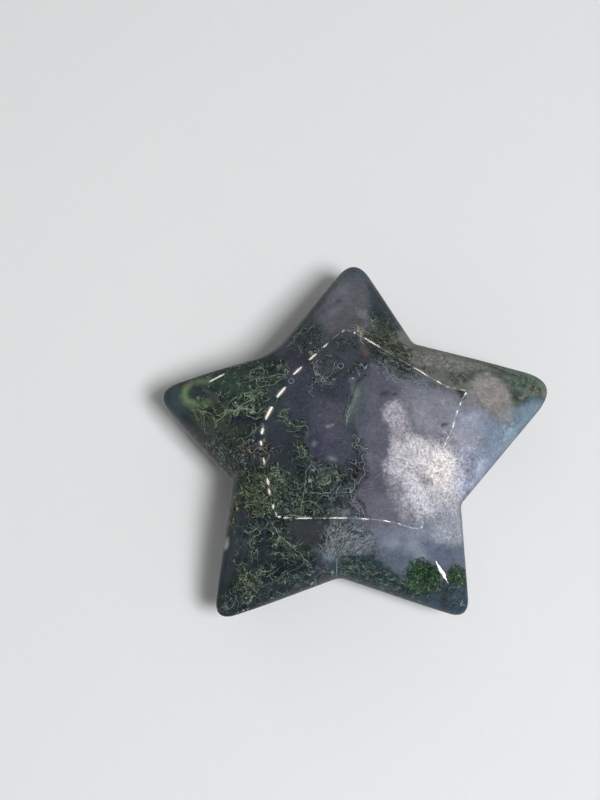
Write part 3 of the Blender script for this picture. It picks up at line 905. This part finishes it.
for colour, strength, echo, corners in LINES:
    lay(distance_to(corners, line_spots, LINE_REACH), colour, strength, echo)
ring(PALE, 0.8, -3.0, 10.6, 0.58)
ring(PALE, 0.7, -12.0, 7.8, 0.5)
print(len(LINES), "lines; share of the skin under one:", round(float((line_distance < 0.15).mean()), 3))

# %% [markdown]
# A clump of moss, a mass of quartz and a bed of grains are never in the same place, so they
# can share one attribute for their ink. The last step takes the uneven light out of all the
# colours, also that of the shoulder, which turns away from the lamps, and gives them to the
# mesh.

# %% From arrays to the mesh
LIT_WALLS = 0.72  # what a wall gets, against the face

is_white = smooth_step(quartz, 0.0, 0.3)[:, None]
tint = tint * (1 - is_white) + whites * is_white
is_grain = smooth_step(grain, 0.4, 0.8)[:, None]
tint = tint * (1 - is_grain) + seen(152, 149, 148) * is_grain
upright = smooth_step(facing[:, 2], 0.3, 0.94)
lit = 1 + (plan @ (LIT_RIGHTWARD, LIT_UPWARD)) / LIT_MIDDLE
lit *= LIT_WALLS + (1 - LIT_WALLS) * upright
for ink in (ground, tint, line_ink[:, :3]):
    ink /= lit[:, None]


def give(name, values):
    is_colour = values.ndim == 2
    kept = star_mesh.attributes.new(name, "FLOAT_COLOR" if is_colour else "FLOAT", "POINT")
    if is_colour and values.shape[1] == 3:
        values = np.column_stack([values, np.ones(len(values))])
    kept.data.foreach_set("color" if is_colour else "value", values.astype(np.float32).ravel())


for name, values in (
        ("ground", ground), ("tint", tint), ("line_ink", line_ink), ("line_distance", line_distance),
        ("line_side", line_side), ("line_echo", line_echo), ("moss", moss), ("quartz", quartz),
        ("grain", grain), ("swirl", swirl), ("feathers", feathers), ("streaks", streaks),
        ("band", band)):
    give(name, values)
print("attributes on the mesh:", [kept.name for kept in star_mesh.attributes if kept.domain == "POINT"])

# %% [markdown]
# ## Calculating with shader nodes
# The stone's look is worked out by a few hundred shader nodes. Written one at a time they
# would hide the thought behind them, so two small helpers let a shader be written as a sum.
# A wire is one output of a node, which can be added, multiplied and so on. A bench makes
# nodes of any kind.

# %% Wires
class Wire:
    """One output of a shader tree, with which one can calculate."""

    def __init__(self, bench, socket):
        self.bench = bench
        self.socket = socket
        self.is_triple = socket.type in ("VECTOR", "RGBA")

    def sum_up(self, operation, first, second):
        pair = [first, second]
        if not any(isinstance(value, Wire) and value.is_triple for value in pair):
            return self.bench.node("ShaderNodeMath", {"operation": operation}, {0: first, 1: second})
        pair = [(value,) * 3 if isinstance(value, (int, float)) else value for value in pair]
        return self.bench.node(
            "ShaderNodeVectorMath", {"operation": operation}, {0: pair[0], 1: pair[1]})

    def __add__(self, other):
        return self.sum_up("ADD", self, other)

    def __radd__(self, other):
        return self.sum_up("ADD", other, self)

    def __sub__(self, other):
        return self.sum_up("SUBTRACT", self, other)

    def __rsub__(self, other):
        return self.sum_up("SUBTRACT", other, self)

    def __mul__(self, other):
        return self.sum_up("MULTIPLY", self, other)

    def __rmul__(self, other):
        return self.sum_up("MULTIPLY", other, self)


# %% The bench
class Bench:
    """A shader tree to which nodes are added one by one."""

    def __init__(self, tree):
        self.tree = tree

    def node(self, kind, settings=None, sockets=None, output=0):
        """Make one node: its settings first, then the values or wires of its sockets."""
        made = self.tree.nodes.new(kind)
        for name, value in (settings or {}).items():
            setattr(made, name, value)
        for name, value in (sockets or {}).items():
            if isinstance(value, Wire):
                self.tree.links.new(value.socket, made.inputs[name])
            else:
                made.inputs[name].default_value = value
        return Wire(self, made.outputs[output])

# %% [markdown]
# ## The stone's material
# The material reads the attributes back and works inside them. Everything is measured in
# millimetres in the stone, and every texture is three-dimensional, so a thread that runs
# over a shoulder goes on down the wall.

# %% Reading the mesh, and a few tools
stone = bpy.data.materials.new("moss_agate")
stone.use_nodes = True
bench = Bench(stone.node_tree)
polish = stone.node_tree.nodes["Principled BSDF"]
place = bench.node("ShaderNodeTexCoord", output=3) * (1 / MILLIMETRE)


def kept(name, is_colour=False):
    return bench.node("ShaderNodeAttribute", {"attribute_name": name}, output=0 if is_colour else 2)


def noise(spots, size, detail=2.0, roughness=0.5, output=0):
    values = {"Vector": spots, "Scale": 1 / size, "Detail": detail, "Roughness": roughness}
    return bench.node("ShaderNodeTexNoise", {}, values, output)


def pushed(spots, size, reach):
    """The spots, each moved by a smooth random amount."""
    return spots + (noise(spots, size, 1.0, output=1) - 0.5) * (2 * reach)


def ramp(value, low, high, start=0.0, end=1.0):
    """A smooth step from one value to another, rising or falling."""
    values = {0: value, 1: low, 2: high, 3: start, 4: end}
    return bench.node("ShaderNodeMapRange", {"interpolation_type": "SMOOTHSTEP"}, values)


def blend(under, over, share):
    if not isinstance(over, Wire):
        over = (*over, 1.0)
    if not isinstance(under, Wire):
        under = (*under, 1.0)
    return bench.node("ShaderNodeMix", {"data_type": "RGBA"}, {0: share, 6: under, 7: over}, 2)


def size_of(value):
    return bench.node("ShaderNodeMath", {"operation": "ABSOLUTE"}, {0: value})


# %% [markdown]
# ### Clouds in the chalcedony
# Chalcedony is never one flat grey. Clouds of several sizes vary the ground, from broad ones
# that show as soft patches down to a faint grain, and it drifts between a cool and a warm
# grey. The moss is lit and shaded in the same way, but more strongly.

# %% Ground with its clouds
CLOUDS = [(6.0, 0.10), (2.2, 0.12), (0.8, 0.15), (0.32, 0.19)]
COOL, WARM = (0.96, 0.99, 1.05), (1.06, 1.00, 0.94)
moss_share = kept("moss")
depth_here = ramp(moss_share, 0.0, 0.6, 1.0, 1.5)
shade = 0.0
for size, depth in CLOUDS:
    shade = shade + (noise(place + (size, 0.0, 0.0), size, 2.0) - 0.5) * (4 * depth)
look = kept("ground", True) * (shade * depth_here + 1.0)
drift = ramp(noise(place + (1.0, 8.0, 3.0), 3.4, 1.0), 0.3, 0.7) - 0.5
look = look * blend(COOL, WARM, drift * ramp(moss_share, 0.0, 0.4, 0.25, 0.9) + 0.5)
print("clouds of", [size for size, _ in CLOUDS], "mm")

# %% [markdown]
# ### Moss
# Moss is a web of threads at several depths. A deep one is drawn where a smooth noise passes
# through its middle value: such a line never ends abruptly and curls like a grown thing. The
# topmost ones are the edges between the cells of a Voronoi texture, which branch and keep
# their width however fine they are. Each has a soft dark edge, because threads shade the
# stone below them. Where the moss attribute is low, a second noise drops most of the threads,
# and a third makes them brighter and darker along their way.

# %% Threads of moss
MOSS_SHADOW = seen(12, 26, 27)
# Size of the loops in mm, width of the thread in noise value, curl, brightness, strength
THREADS = [
    (2.8, 0.060, 0.9, 0.34, 0.45),
    (1.7, 0.055, 0.8, 0.42, 0.45),
    (2.3, 0.020, 0.8, 0.60, 0.70),
    (1.2, 0.026, 0.7, 0.70, 0.75),
    (0.7, 0.040, 0.6, 0.70, 0.85),
    (0.45, 0.042, 0.6, 2.10, 0.90),
]
# Size of the cells in mm, half the width of their edges in mm, curl, brightness, strength
WEBS = [
    (1.3, 0.045, 0.9, 0.80, 0.80),
    (3.4, 0.072, 0.7, 1.15, 0.95),
    (2.0, 0.056, 0.9, 1.45, 0.95),
]


def strand(spots, size, curl, seed):
    """How near each spot is to a thread, as a distance in noise value from its middle."""
    moved = pushed(spots + (seed * 7.3, seed * 3.1, seed * 5.7), size * 0.6, size * curl / 2)
    return size_of(noise(moved, size, 0.0) - 0.5)


def web(spots, size, curl, seed):
    """How far each spot is from the nearest edge of a cell, in mm."""
    moved = spots * (1.0, 1.0, 0.5) + (seed * 4.1, seed * 2.9, seed * 6.3)
    moved = pushed(moved, size * 0.55, size * curl * 0.55)
    moved = pushed(moved, 0.5, 0.12)
    return bench.node("ShaderNodeTexVoronoi", {"feature": "DISTANCE_TO_EDGE"}, {
        "Vector": moved, "Scale": 1 / size}) * size


def grow(under, away, half_width, brightness, opacity, here):
    """Lay threads over what is under them, given how far away each spot is from one."""
    if half_width < 0.05 or opacity > 0.75:
        under = blend(under, MOSS_SHADOW, ramp(away, half_width * 4.0, half_width * 1.4) * here * 0.6)
    share = ramp(away, half_width, half_width * 0.2) * here * opacity
    return blend(under, tint_ink * (glimmer * brightness), share)


tint_ink = kept("tint", True)
pocket = ramp(noise(place, 1.1, 2.0), 0.44, 0.60) * ramp(moss_share, 0.1, 1.0)
look = blend(look * ramp(moss_share, 0.0, 0.8, 1.0, 0.82), look * 0.18, pocket)
glimmer = ramp(noise(place + (6.0, 2.0, 9.0), 0.9, 2.0), 0.35, 0.65, 0.45, 1.38)
is_mossy, is_bushy = ramp(moss_share, 0.02, 0.2), ramp(moss_share, 0.85, 1.1)
for seed, (size, width, curl, brightness, opacity) in enumerate(THREADS, 1):
    crowd = noise(place + (seed * 1.7, seed * 2.3, 0.0), size * 1.3, 0.0)
    here = ramp(crowd + moss_share * 0.26, 0.60, 0.70)
    here = here * (is_mossy if size > 1 else is_bushy)
    look = grow(look, strand(place, size, curl, seed), width, brightness, opacity, here)
for seed, (size, width, curl, brightness, opacity) in enumerate(WEBS, 1):
    crowd = noise(place + (seed * 2.7, 0.0, seed * 1.9), 2.4, 1.0)
    here = ramp(crowd + moss_share * 0.24, 0.56, 0.68)
    here = here * is_mossy * (1 - is_bushy * 0.75)
    look = grow(look, web(place, size, curl, seed), width, brightness, opacity, here)
print(len(THREADS), "kinds of thread and", len(WEBS), "of web")

# %% [markdown]
# ### Streaks
# The same threads, in a space that is squeezed along one direction, come out as long
# streaks. They run down to the right, along the lower wall and in the band under the top
# arm.

# %% Streaks along the wall and in the band
STREAK_SQUEEZE = 0.34


def squeezed(direction):
    lengthwise = polar(direction, 1.0)
    values = {0: place, 1: (*lengthwise, 0.0)}
    along = bench.node("ShaderNodeVectorMath", {"operation": "DOT_PRODUCT"}, values, 1)
    return place + bench.node("ShaderNodeCombineXYZ", {}, {
        0: along * (lengthwise[0] * (STREAK_SQUEEZE - 1)),
        1: along * (lengthwise[1] * (STREAK_SQUEEZE - 1)),
    })


streak_share = kept("streaks")
band_share = kept("band")
for share, direction, kinds in (
        (streak_share, -35.0, [(1.2, 0.05, 0.6), (0.9, 0.045, 1.0), (0.7, 0.04, 1.45)]),
        (band_share, -28.0, [(1.5, 0.07, 0.35), (1.1, 0.06, 0.55), (0.9, 0.05, 0.9)])):
    streaked = squeezed(direction)
    for seed, (size, width, brightness) in enumerate(kinds, 11):
        from_thread = strand(streaked, size, 0.8, seed)
        here = ramp(noise(streaked + (seed * 1.7, 2.3, 0.0), size, 0.0), 0.44, 0.54) * share
        look = blend(look, MOSS_SHADOW, ramp(from_thread, width * 3.5, width * 1.2) * here * 0.5)
        ink = tint_ink * (glimmer * brightness)
        look = blend(look, ink, ramp(from_thread, width, width * 0.25) * here * 0.85)

# %% [markdown]
# ### Fans
# Quartz fibres and the feathery moss of the lower notch both spread out from one spot. Their
# texture is looked up by direction and distance: it changes fast from one direction to the
# next and slowly along each of them.

# %% A fan of fibres
def fan(x, y, fineness, stretch, seed):
    """Places to look up a texture that radiates from one spot."""
    away = (place - (x, y, 0.0)) * (1.0, 1.0, 0.0)
    distance = bench.node("ShaderNodeVectorMath", {"operation": "LENGTH"}, {0: away}, 1)
    direction = bench.node("ShaderNodeVectorMath", {"operation": "NORMALIZE"}, {0: away})
    return direction * fineness + bench.node("ShaderNodeCombineXYZ", {}, {
        0: seed, 2: distance * (1 / stretch)})


FEATHER_ROOT = (-5.2, -25.5)
feather_share = kept("feathers")
feather_fan = pushed(pushed(fan(*FEATHER_ROOT, 7.0, 1.6, 5.0), 1.2, 0.9), 0.5, 0.4)
barbs = ramp(noise(feather_fan, 0.42, 3.0, 0.65), 0.46, 0.58)
look = blend(look, look * 0.20, feather_share * (1 - barbs) * 0.9)
look = blend(look, seen(158, 163, 167), barbs * feather_share * 0.75)

# %% [markdown]
# ### Quartz
# The quartz is a felt of fine white fibres with darker gaps. Its rim is ragged, because
# single fibres stick out of it, so the fibres themselves decide where it ends.

# %% Fibres of quartz
QUARTZ_HEART = (12.8, -10.3)
quartz_share = kept("quartz")
fibres = pushed(pushed(fan(*QUARTZ_HEART, 8.0, 2.2, 1.0), 3.0, 1.6), 0.9, 0.7)
fibres = noise(fibres, 0.42, 3.0, 0.65)
felt = noise(pushed(place, 0.7, 0.4), 0.42, 4.0, 0.78)
clumps = noise(place, 2.4, 3.0, 0.6)
rim = quartz_share + (fibres - 0.5) * 0.30 + (felt - 0.5) * 0.40 + (clumps - 0.5) * 0.6
quartz_here = ramp(rim, 0.0, 1.0) * ramp(quartz_share, 0.0, 0.3)
glints = ramp(fibres * 0.3 + felt * 0.7, 0.37, 0.63, 0.54, 1.42) * ramp(clumps, 0.3, 0.7, 0.82, 1.16)
look = blend(look, tint_ink * glints, quartz_here)
specks = ramp(noise(pushed(place, 0.5, 0.2), 0.42, 1.0), 0.36, 0.28) * quartz_here
look = blend(look, look * 0.66, specks)

# %% [markdown]
# ### Grains and wavy lines
# The beige cloud is made of tiny balls, which are the cells of a Voronoi texture, lighter in
# the middle. Wavy lines are the contour lines of a slow noise.

# %% Grains and wavy lines
GRAIN_SIZE = 0.55
HILL_SIZE, CONTOURS = 3.2, 13.0
grain_share = kept("grain")
balls = bench.node("ShaderNodeTexVoronoi", {}, {
    "Vector": pushed(place, 0.8, 0.35), "Scale": 1 / GRAIN_SIZE})
ball_light = ramp(balls, 0.1, 0.62, 1.13, 0.74)
ball_light = ball_light * ramp(noise(place + (2.0, 2.0, 2.0), 1.3, 3.0, 0.6), 0.35, 0.65, 0.72, 1.16)
grain_here = ramp(grain_share + (noise(place, 1.2, 3.0) - 0.5) * 0.9, 0.3, 0.6)
look = blend(look, tint_ink * ball_light, grain_here * 0.62)

swirl_share = kept("swirl")
hills = noise(pushed(place, 2.5, 0.9), HILL_SIZE, 1.0) * CONTOURS
contour = size_of(bench.node("ShaderNodeMath", {"operation": "FRACT"}, {0: hills}) - 0.5)
wavy_here = swirl_share * ramp(noise(place + (4.0, 1.0, 2.0), 1.6, 0.0), 0.40, 0.58)
look = blend(look, look * 0.70, ramp(contour, 0.30, 0.46) * wavy_here)
look = blend(look, look * 1.5 + 0.02, ramp(contour, 0.16, 0.04) * wavy_here * 0.7)

# %% [markdown]
# ### The drawn lines
# A drawn line lies where its signed distance passes through nought. A fine noise is added
# first, so that the line trembles like a grown thing. Beside it, contour lines of the plain
# distance make its echoes, and a soft dark edge lies under all of them.

# %% Drawn lines
ECHO_SPACING = 0.56
line_distance, line_side = kept("line_distance"), kept("line_side")
strength = bench.node("ShaderNodeAttribute", {"attribute_name": "line_ink"}, output=3)
trembling = size_of(line_side + (noise(place, 1.1, 2.0) - 0.5) * 0.30)
line_here = ramp(line_distance, 0.62, 0.36) * strength
rounds = bench.node("ShaderNodeMath", {"operation": "FRACT"}, {
    0: (line_distance + (noise(place + (2.0, 5.0, 7.0), 1.1, 1.0) - 0.5) * 1.0) * (1 / ECHO_SPACING)})
echo = ramp(size_of(rounds - 0.5), 0.18, 0.05) * ramp(line_distance, 1.3, 0.6) * kept("line_echo")
echo = echo * ramp(noise(place + (8.0, 1.0, 4.0), 1.0, 0.0), 0.42, 0.54)
look = blend(look, look * 0.62, ramp(trembling, 0.36, 0.12) * line_here * 0.8)
look = blend(look, kept("line_ink", True) * 0.70, echo * 0.6)
drawn_ink = kept("line_ink", True) * (glimmer * 0.5 + 0.6)
look = blend(look, drawn_ink, ramp(trembling, 0.105, 0.02) * line_here)

# %% [markdown]
# ### Polish
# Chalcedony bends light with an index of 1.54 and takes a very fine polish.

# %% Polish
POLISH_ROUGHNESS = 0.03
STONE_INDEX = 1.54
polish.inputs["IOR"].default_value = STONE_INDEX
polish.inputs["Roughness"].default_value = POLISH_ROUGHNESS
stone.node_tree.links.new(look.socket, polish.inputs["Base Color"])
star_mesh.materials.append(stone)
print("nodes in the stone's shader:", len(stone.node_tree.nodes))

# %% [markdown]
# ## The studio
# The floor is a plain pale sheet, so large that its edge lies far behind the stone. It is
# matt, so that it shows only the stone's shadow and none of the lamps.

# %% The floor
FLOOR_SIZE = 6.0
PAPER_COLOUR = (0.74, 0.75, 0.76, 1)
PAPER_ROUGHNESS, PAPER_GLOSS = 0.9, 0.1
bpy.ops.mesh.primitive_plane_add(size=FLOOR_SIZE, location=(0, 0, 0))
floor = bpy.context.object
floor.name = "pale_floor"
floor_paper = bpy.data.materials.new("pale_paper")
floor_paper.use_nodes = True
paper_shader = floor_paper.node_tree.nodes["Principled BSDF"]
paper_shader.inputs["Base Color"].default_value = PAPER_COLOUR
paper_shader.inputs["Roughness"].default_value = PAPER_ROUGHNESS
paper_shader.inputs["Specular IOR Level"].default_value = PAPER_GLOSS
floor.data.materials.append(floor_paper)
floor.visible_glossy = False

# %% [markdown]
# ## The camera
# The photograph looks down on the stone from the front, a little off plumb. The lens is
# given as the focal length that a picture 36 mm tall would need.

# %% The camera and the picture's tones
CAMERA_PLACE = (-10.4, -80.1, 278.9)
CAMERA_TILT = 18.0
LENS = 67.5
PICTURE_HEIGHT = 36.0

view = bpy.data.cameras.new("camera")
view.sensor_fit = "VERTICAL"
view.sensor_height = PICTURE_HEIGHT
view.lens = LENS
view.clip_start = 0.01
camera = bpy.data.objects.new("camera", view)
camera.location = Vector(CAMERA_PLACE) * MILLIMETRE
camera.rotation_euler = (math.radians(CAMERA_TILT), 0, 0)
bpy.context.scene.collection.objects.link(camera)
bpy.context.scene.camera = camera
bpy.context.scene.view_settings.view_transform = "Standard"
bpy.context.scene.view_settings.look = "None"

# %% [markdown]
# ## The light
# A polished dome is a mirror as much as it is a stone, so a large lamp anywhere near the
# mirrored direction would lie over the pattern as a white veil. The room therefore does most
# of the lighting: it is pale towards the horizon, which the face hardly mirrors, and dim
# overhead, which it does. One large lamp at the front right is polarised, as copy-stand
# lamps are: it lights the stone and throws its shadow, but polish doesn't mirror it.

# %% The fill lamp
FILL_PLACE = (0.345, -0.316, 0.893)
FILL_SIZE = 0.30
FILL_RADIANCE = 31.5  # what a mirror would show of it


def lamp(name, place, size, radiance, colour=(1.0, 1.0, 1.0), shape="SQUARE"):
    """A lamp that faces the stone, at a place in metres; its size is one side, or two."""
    sides = (size, size) if isinstance(size, float) else size
    light = bpy.data.lights.new(name, "AREA")
    light.shape = shape
    light.size, light.size_y = sides
    light.energy = radiance * math.pi * sides[0] * sides[1]
    light.color = colour
    thing = bpy.data.objects.new(name, light)
    thing.location = place
    aim = Vector(middle) * MILLIMETRE - thing.location
    thing.rotation_euler = aim.to_track_quat("-Z", "Y").to_euler()
    thing.visible_camera = False
    bpy.context.scene.collection.objects.link(thing)
    return thing


fill = lamp("fill", FILL_PLACE, FILL_SIZE, FILL_RADIANCE)
fill.visible_glossy = False

# %% [markdown]
# ### The ring of small lamps
# The polish shows a broken pentagon of bright dashes: five facets, each mirroring its arc of
# a ring of small lamps. Such a row is one of the first things that the eye sees, so it should
# fall where it fell on the real stone, whose facets are less even than a formula. A ray from
# the camera, mirrored at a place on the face, passes the height of the lamps where a lamp must
# hang to show there. So each dash is given by its two ends on the face, and its lamp follows:
# both its ends hang equally far from the stone, and it is square to its own spot.

# %% Where a lamp must hang
LAMP_HEIGHT = 350.0


def on_the_face(places):
    """The points of the face at places in plan, and the direction that it faces at each."""
    level = np.array(places) - middle[:2]
    low, high = np.zeros(len(level)), np.full(len(level), HALF_THICKNESS + 1)
    for _ in range(HALVINGS):
        height = (low + high) / 2
        is_in = outside_stone(np.column_stack([level, height])) < 0
        low, high = np.where(is_in, height, low), np.where(is_in, high, height)
    spots = np.column_stack([level, low])
    return spots + middle, slope(spots)


def shown_from(places):
    """Where lamps must hang, all equally far off, to be mirrored to the camera at these places."""
    spots, facing = on_the_face(places)
    rays = spots - CAMERA_PLACE
    rays = rays - 2 * (rays * facing).sum(axis=1)[:, None] * facing
    return spots + rays * ((LAMP_HEIGHT - spots[:, 2]) / rays[:, 2]).mean()


def dash(number, start, end, across, radiance, colour, is_oval=True):
    """A long oval or oblong lamp that shows on the face as a dash from one place to another."""
    one, other = (Vector(place) * MILLIMETRE for place in shown_from([start, end]))
    spot = Vector(on_the_face([start, end])[0].mean(axis=0)) * MILLIMETRE
    shines = (spot - (one + other) / 2).normalized()
    along = (other - one) - shines * (other - one).dot(shines)
    size = (along.length * (DASH_TAPER if is_oval else 1.0), across * MILLIMETRE)
    power, shape = (radiance * math.pi / 4, "ELLIPSE") if is_oval else (radiance, "RECTANGLE")
    thing = lamp(f"dash_{number:02d}", (one + other) / 2, size, power, colour, shape)
    along.normalize()
    turn = Matrix((along, shines.cross(along), -shines)).transposed().to_4x4()
    thing.matrix_world = Matrix.Translation((one + other) / 2) @ turn
    return thing


def put_grid_on(thing):
    """A honeycomb grid: the lamp shines only within so many degrees, with its old radiance."""
    reach = math.radians(GRID_REACH)
    thing.data.spread = 2 * reach
    thing.data.energy *= (math.tan(reach) - reach) / math.tan(reach)


def streak(number, start, end, across, radiance):
    """A row of lamps with grids, each square to its own spot, that shows as a pointed streak."""
    stops = np.linspace(start, end, len(STREAK_WIDTHS) + 1)
    for step, (share, one, other) in enumerate(zip(STREAK_WIDTHS, stops, stops[1:])):
        put_grid_on(dash(number + step, one, other, across * share, radiance, WARM_WHITE, False))


# %% The dashes
DASH_TAPER = 0.92  # how much of the way between its ends an oval lamp spans
BRIGHT_LAMP, DIM_LAMP, GLOW = 24.0, 12.0, 2.2
WARM_WHITE, AMBER = (1.0, 0.97, 0.91), (1.0, 0.82, 0.48)
DASHES = [  # start, end, width of the lamp in mm, radiance
    ((-14.4, -17.3), (-13.8, -17.5), 2.2, BRIGHT_LAMP),
    ((-13.4, -17.6), (-12.1, -17.7), 1.9, BRIGHT_LAMP),
    ((-11.4, -17.7), (-8.1, -17.7), 1.7, BRIGHT_LAMP), ((-6.4, -17.7), (-5.7, -17.7), 1.5, DIM_LAMP),
    ((-5.4, -17.7), (-1.7, -17.7), 1.7, BRIGHT_LAMP), ((0.2, -17.8), (1.9, -17.9), 1.7, BRIGHT_LAMP),
    ((4.3, -18.1), (5.7, -18.4), 1.9, BRIGHT_LAMP), ((6.8, -18.6), (7.6, -18.8), 1.9, DIM_LAMP),
    ((8.1, -18.9), (8.4, -19.1), 1.7, DIM_LAMP), ((8.4, -19.2), (11, -19.5), 1.6, 9.0),
    ((11, -19.5), (11.5, -18.8), 1.6, 14.0), ((11.5, -18.8), (11.4, -18.1), 1.4, 8.0),
    ((20, 6.1), (19.7, 5.3), 1.9, BRIGHT_LAMP), ((19.4, 5), (19.2, 4.6), 1.7, DIM_LAMP),
    ((18.9, 3.9), (18.7, 3.3), 1.9, BRIGHT_LAMP), ((18.3, 2.5), (18, 1.7), 1.7, BRIGHT_LAMP),
    ((17.6, 0.1), (17.2, -1), 1.7, BRIGHT_LAMP), ((16.5, -2.5), (16.1, -3.3), 1.5, DIM_LAMP),
    ((15.9, -3.8), (15.6, -4.5), 1.4, DIM_LAMP),
    ((-0.5, 17.5), (-0.1, 17.3), 2.2, BRIGHT_LAMP), ((1.3, 16.5), (4.5, 14.4), 2.0, BRIGHT_LAMP),
    ((10.3, 10.7), (13.2, 8.8), 1.9, BRIGHT_LAMP), ((14.5, 8.1), (15.4, 7.5), 1.9, BRIGHT_LAMP),
    ((16.3, 7), (16.8, 6.9), 1.9, DIM_LAMP), ((17.8, 6.7), (18.1, 6.7), 1.9, DIM_LAMP),
    ((18.7, 6.5), (20, 6.3), 1.5, DIM_LAMP),
    ((-2.8, 17.6), (-2.1, 17.9), 2.0, DIM_LAMP), ((-1.9, 18), (-0.8, 17.7), 1.2, 7.0),
    ((-4.8, 16.1), (-3, 17.4), 1.0, 8.0),
    ((-6.2, 14.4), (-5.2, 15.3), 2.0, BRIGHT_LAMP), ((-8.8, 11.9), (-7.3, 13.3), 2.9, BRIGHT_LAMP),
    ((-11.7, 9), (-10, 10.7), 3.2, BRIGHT_LAMP), ((-14.7, 4.6), (-12.9, 6.8), 3.9, BRIGHT_LAMP),
    ((-16.7, 0.3), (-15.4, 2.9), 4.3, BRIGHT_LAMP), ((-17.4, -2.3), (-17, -1), 3.4, BRIGHT_LAMP),
    ((-17.4, -4.4), (-17.4, -3.4), 3.1, BRIGHT_LAMP), ((-16.8, -7.7), (-17, -6.5), 2.2, BRIGHT_LAMP),
    ((-16, -11.6), (-16.3, -10.4), 2.9, BRIGHT_LAMP), ((-15.8, -13.4), (-16, -12.2), 2.4, BRIGHT_LAMP),
    ((-15.1, -15.9), (-15.3, -15), 2.9, BRIGHT_LAMP), ((-14.5, -17.4), (-14.8, -16.5), 2.2, DIM_LAMP),
]
# Two streaks lie on a shoulder, and other arms' shoulders would mirror lamps as wide as
# theirs too. So each is a row of small lamps with grids, which keep their light on its arm.
GRID_REACH = 4.0  # in degrees
STREAK_WIDTHS = (0.2, 0.45, 0.8, 1.0, 0.8, 0.45, 0.2)
STREAKS = [
    ((-27.0, 8.7), (-24.4, 10.25), 40.0, 17.0), ((13.75, -25.0), (16.05, -28.8), 25.0, 36.0),
]
# Between the dashes of three of the rows runs a thin, fainter line.
FAINT_LAMP, FAINT_WIDTH = 5.0, 1.4
FAINT_ROWS = [
    [(-13.4, -17.6), (-8.1, -17.7), (-5.4, -17.7), (-1.7, -17.7), (1.9, -17.9), (4.3, -18.1),
     (6.8, -18.6), (9, -19.3)],
    [(-0.1, 17.3), (1.3, 16.5)],
    [(4.5, 14.4), (7.4, 12.5), (10.3, 10.7), (13.2, 8.8), (16.3, 7), (18.4, 6.6), (20, 6.3)],
    [(20, 6.1), (19.2, 4.6), (18.3, 2.5), (17.2, -1), (16.1, -3.3), (15.3, -5.2)],
]
for number, (start, end, across, radiance) in enumerate(DASHES):
    dash(number, start, end, across, radiance, WARM_WHITE)
    if across > 2.3 and radiance == BRIGHT_LAMP:
        dash(number + 100, start, end, across * 3, GLOW, AMBER)
for number, (start, end, across, radiance) in enumerate(STREAKS, 5):
    streak(number * 10, start, end, across, radiance)
number = 200
for row in FAINT_ROWS:
    for start, end in zip(row, row[1:]):
        dash(number, start, end, FAINT_WIDTH, FAINT_LAMP, WARM_WHITE)
        number += 1

# %% The room
BELOW_LIGHT = 0.20
HORIZON_LIGHT = 0.38
OVERHEAD_LIGHT = 0.12
OVERHEAD_FROM = 0.45  # the sine of the height from which the ceiling begins
OVERHEAD_TO = 0.85
BELOW_FROM, BELOW_TO = 0.02, -0.10  # and the same for where the dark below begins

room = bpy.data.worlds.new("pale_room")
room.use_nodes = True
room_bench = Bench(room.node_tree)
upward = room_bench.node("ShaderNodeTexCoord")
height = room_bench.node("ShaderNodeSeparateXYZ", {}, {0: upward}, output=2)
room_light = room_bench.node("ShaderNodeMapRange", {"interpolation_type": "SMOOTHSTEP"}, {
    0: height, 1: OVERHEAD_FROM, 2: OVERHEAD_TO, 3: HORIZON_LIGHT, 4: OVERHEAD_LIGHT})
room_light = room_light - room_bench.node("ShaderNodeMapRange", {"interpolation_type": "SMOOTHSTEP"}, {
    0: height, 1: BELOW_FROM, 2: BELOW_TO, 3: 0.0, 4: HORIZON_LIGHT - BELOW_LIGHT})
room.node_tree.links.new(room_light.socket, room.node_tree.nodes["Background"].inputs["Color"])
bpy.context.scene.world = room

# %% [markdown]
# ## Sizes
# Both boxes are written down, the CAD's and the finished model's. They should agree to
# within the polish.

# %% Write the sizes
bpy.context.view_layer.update()
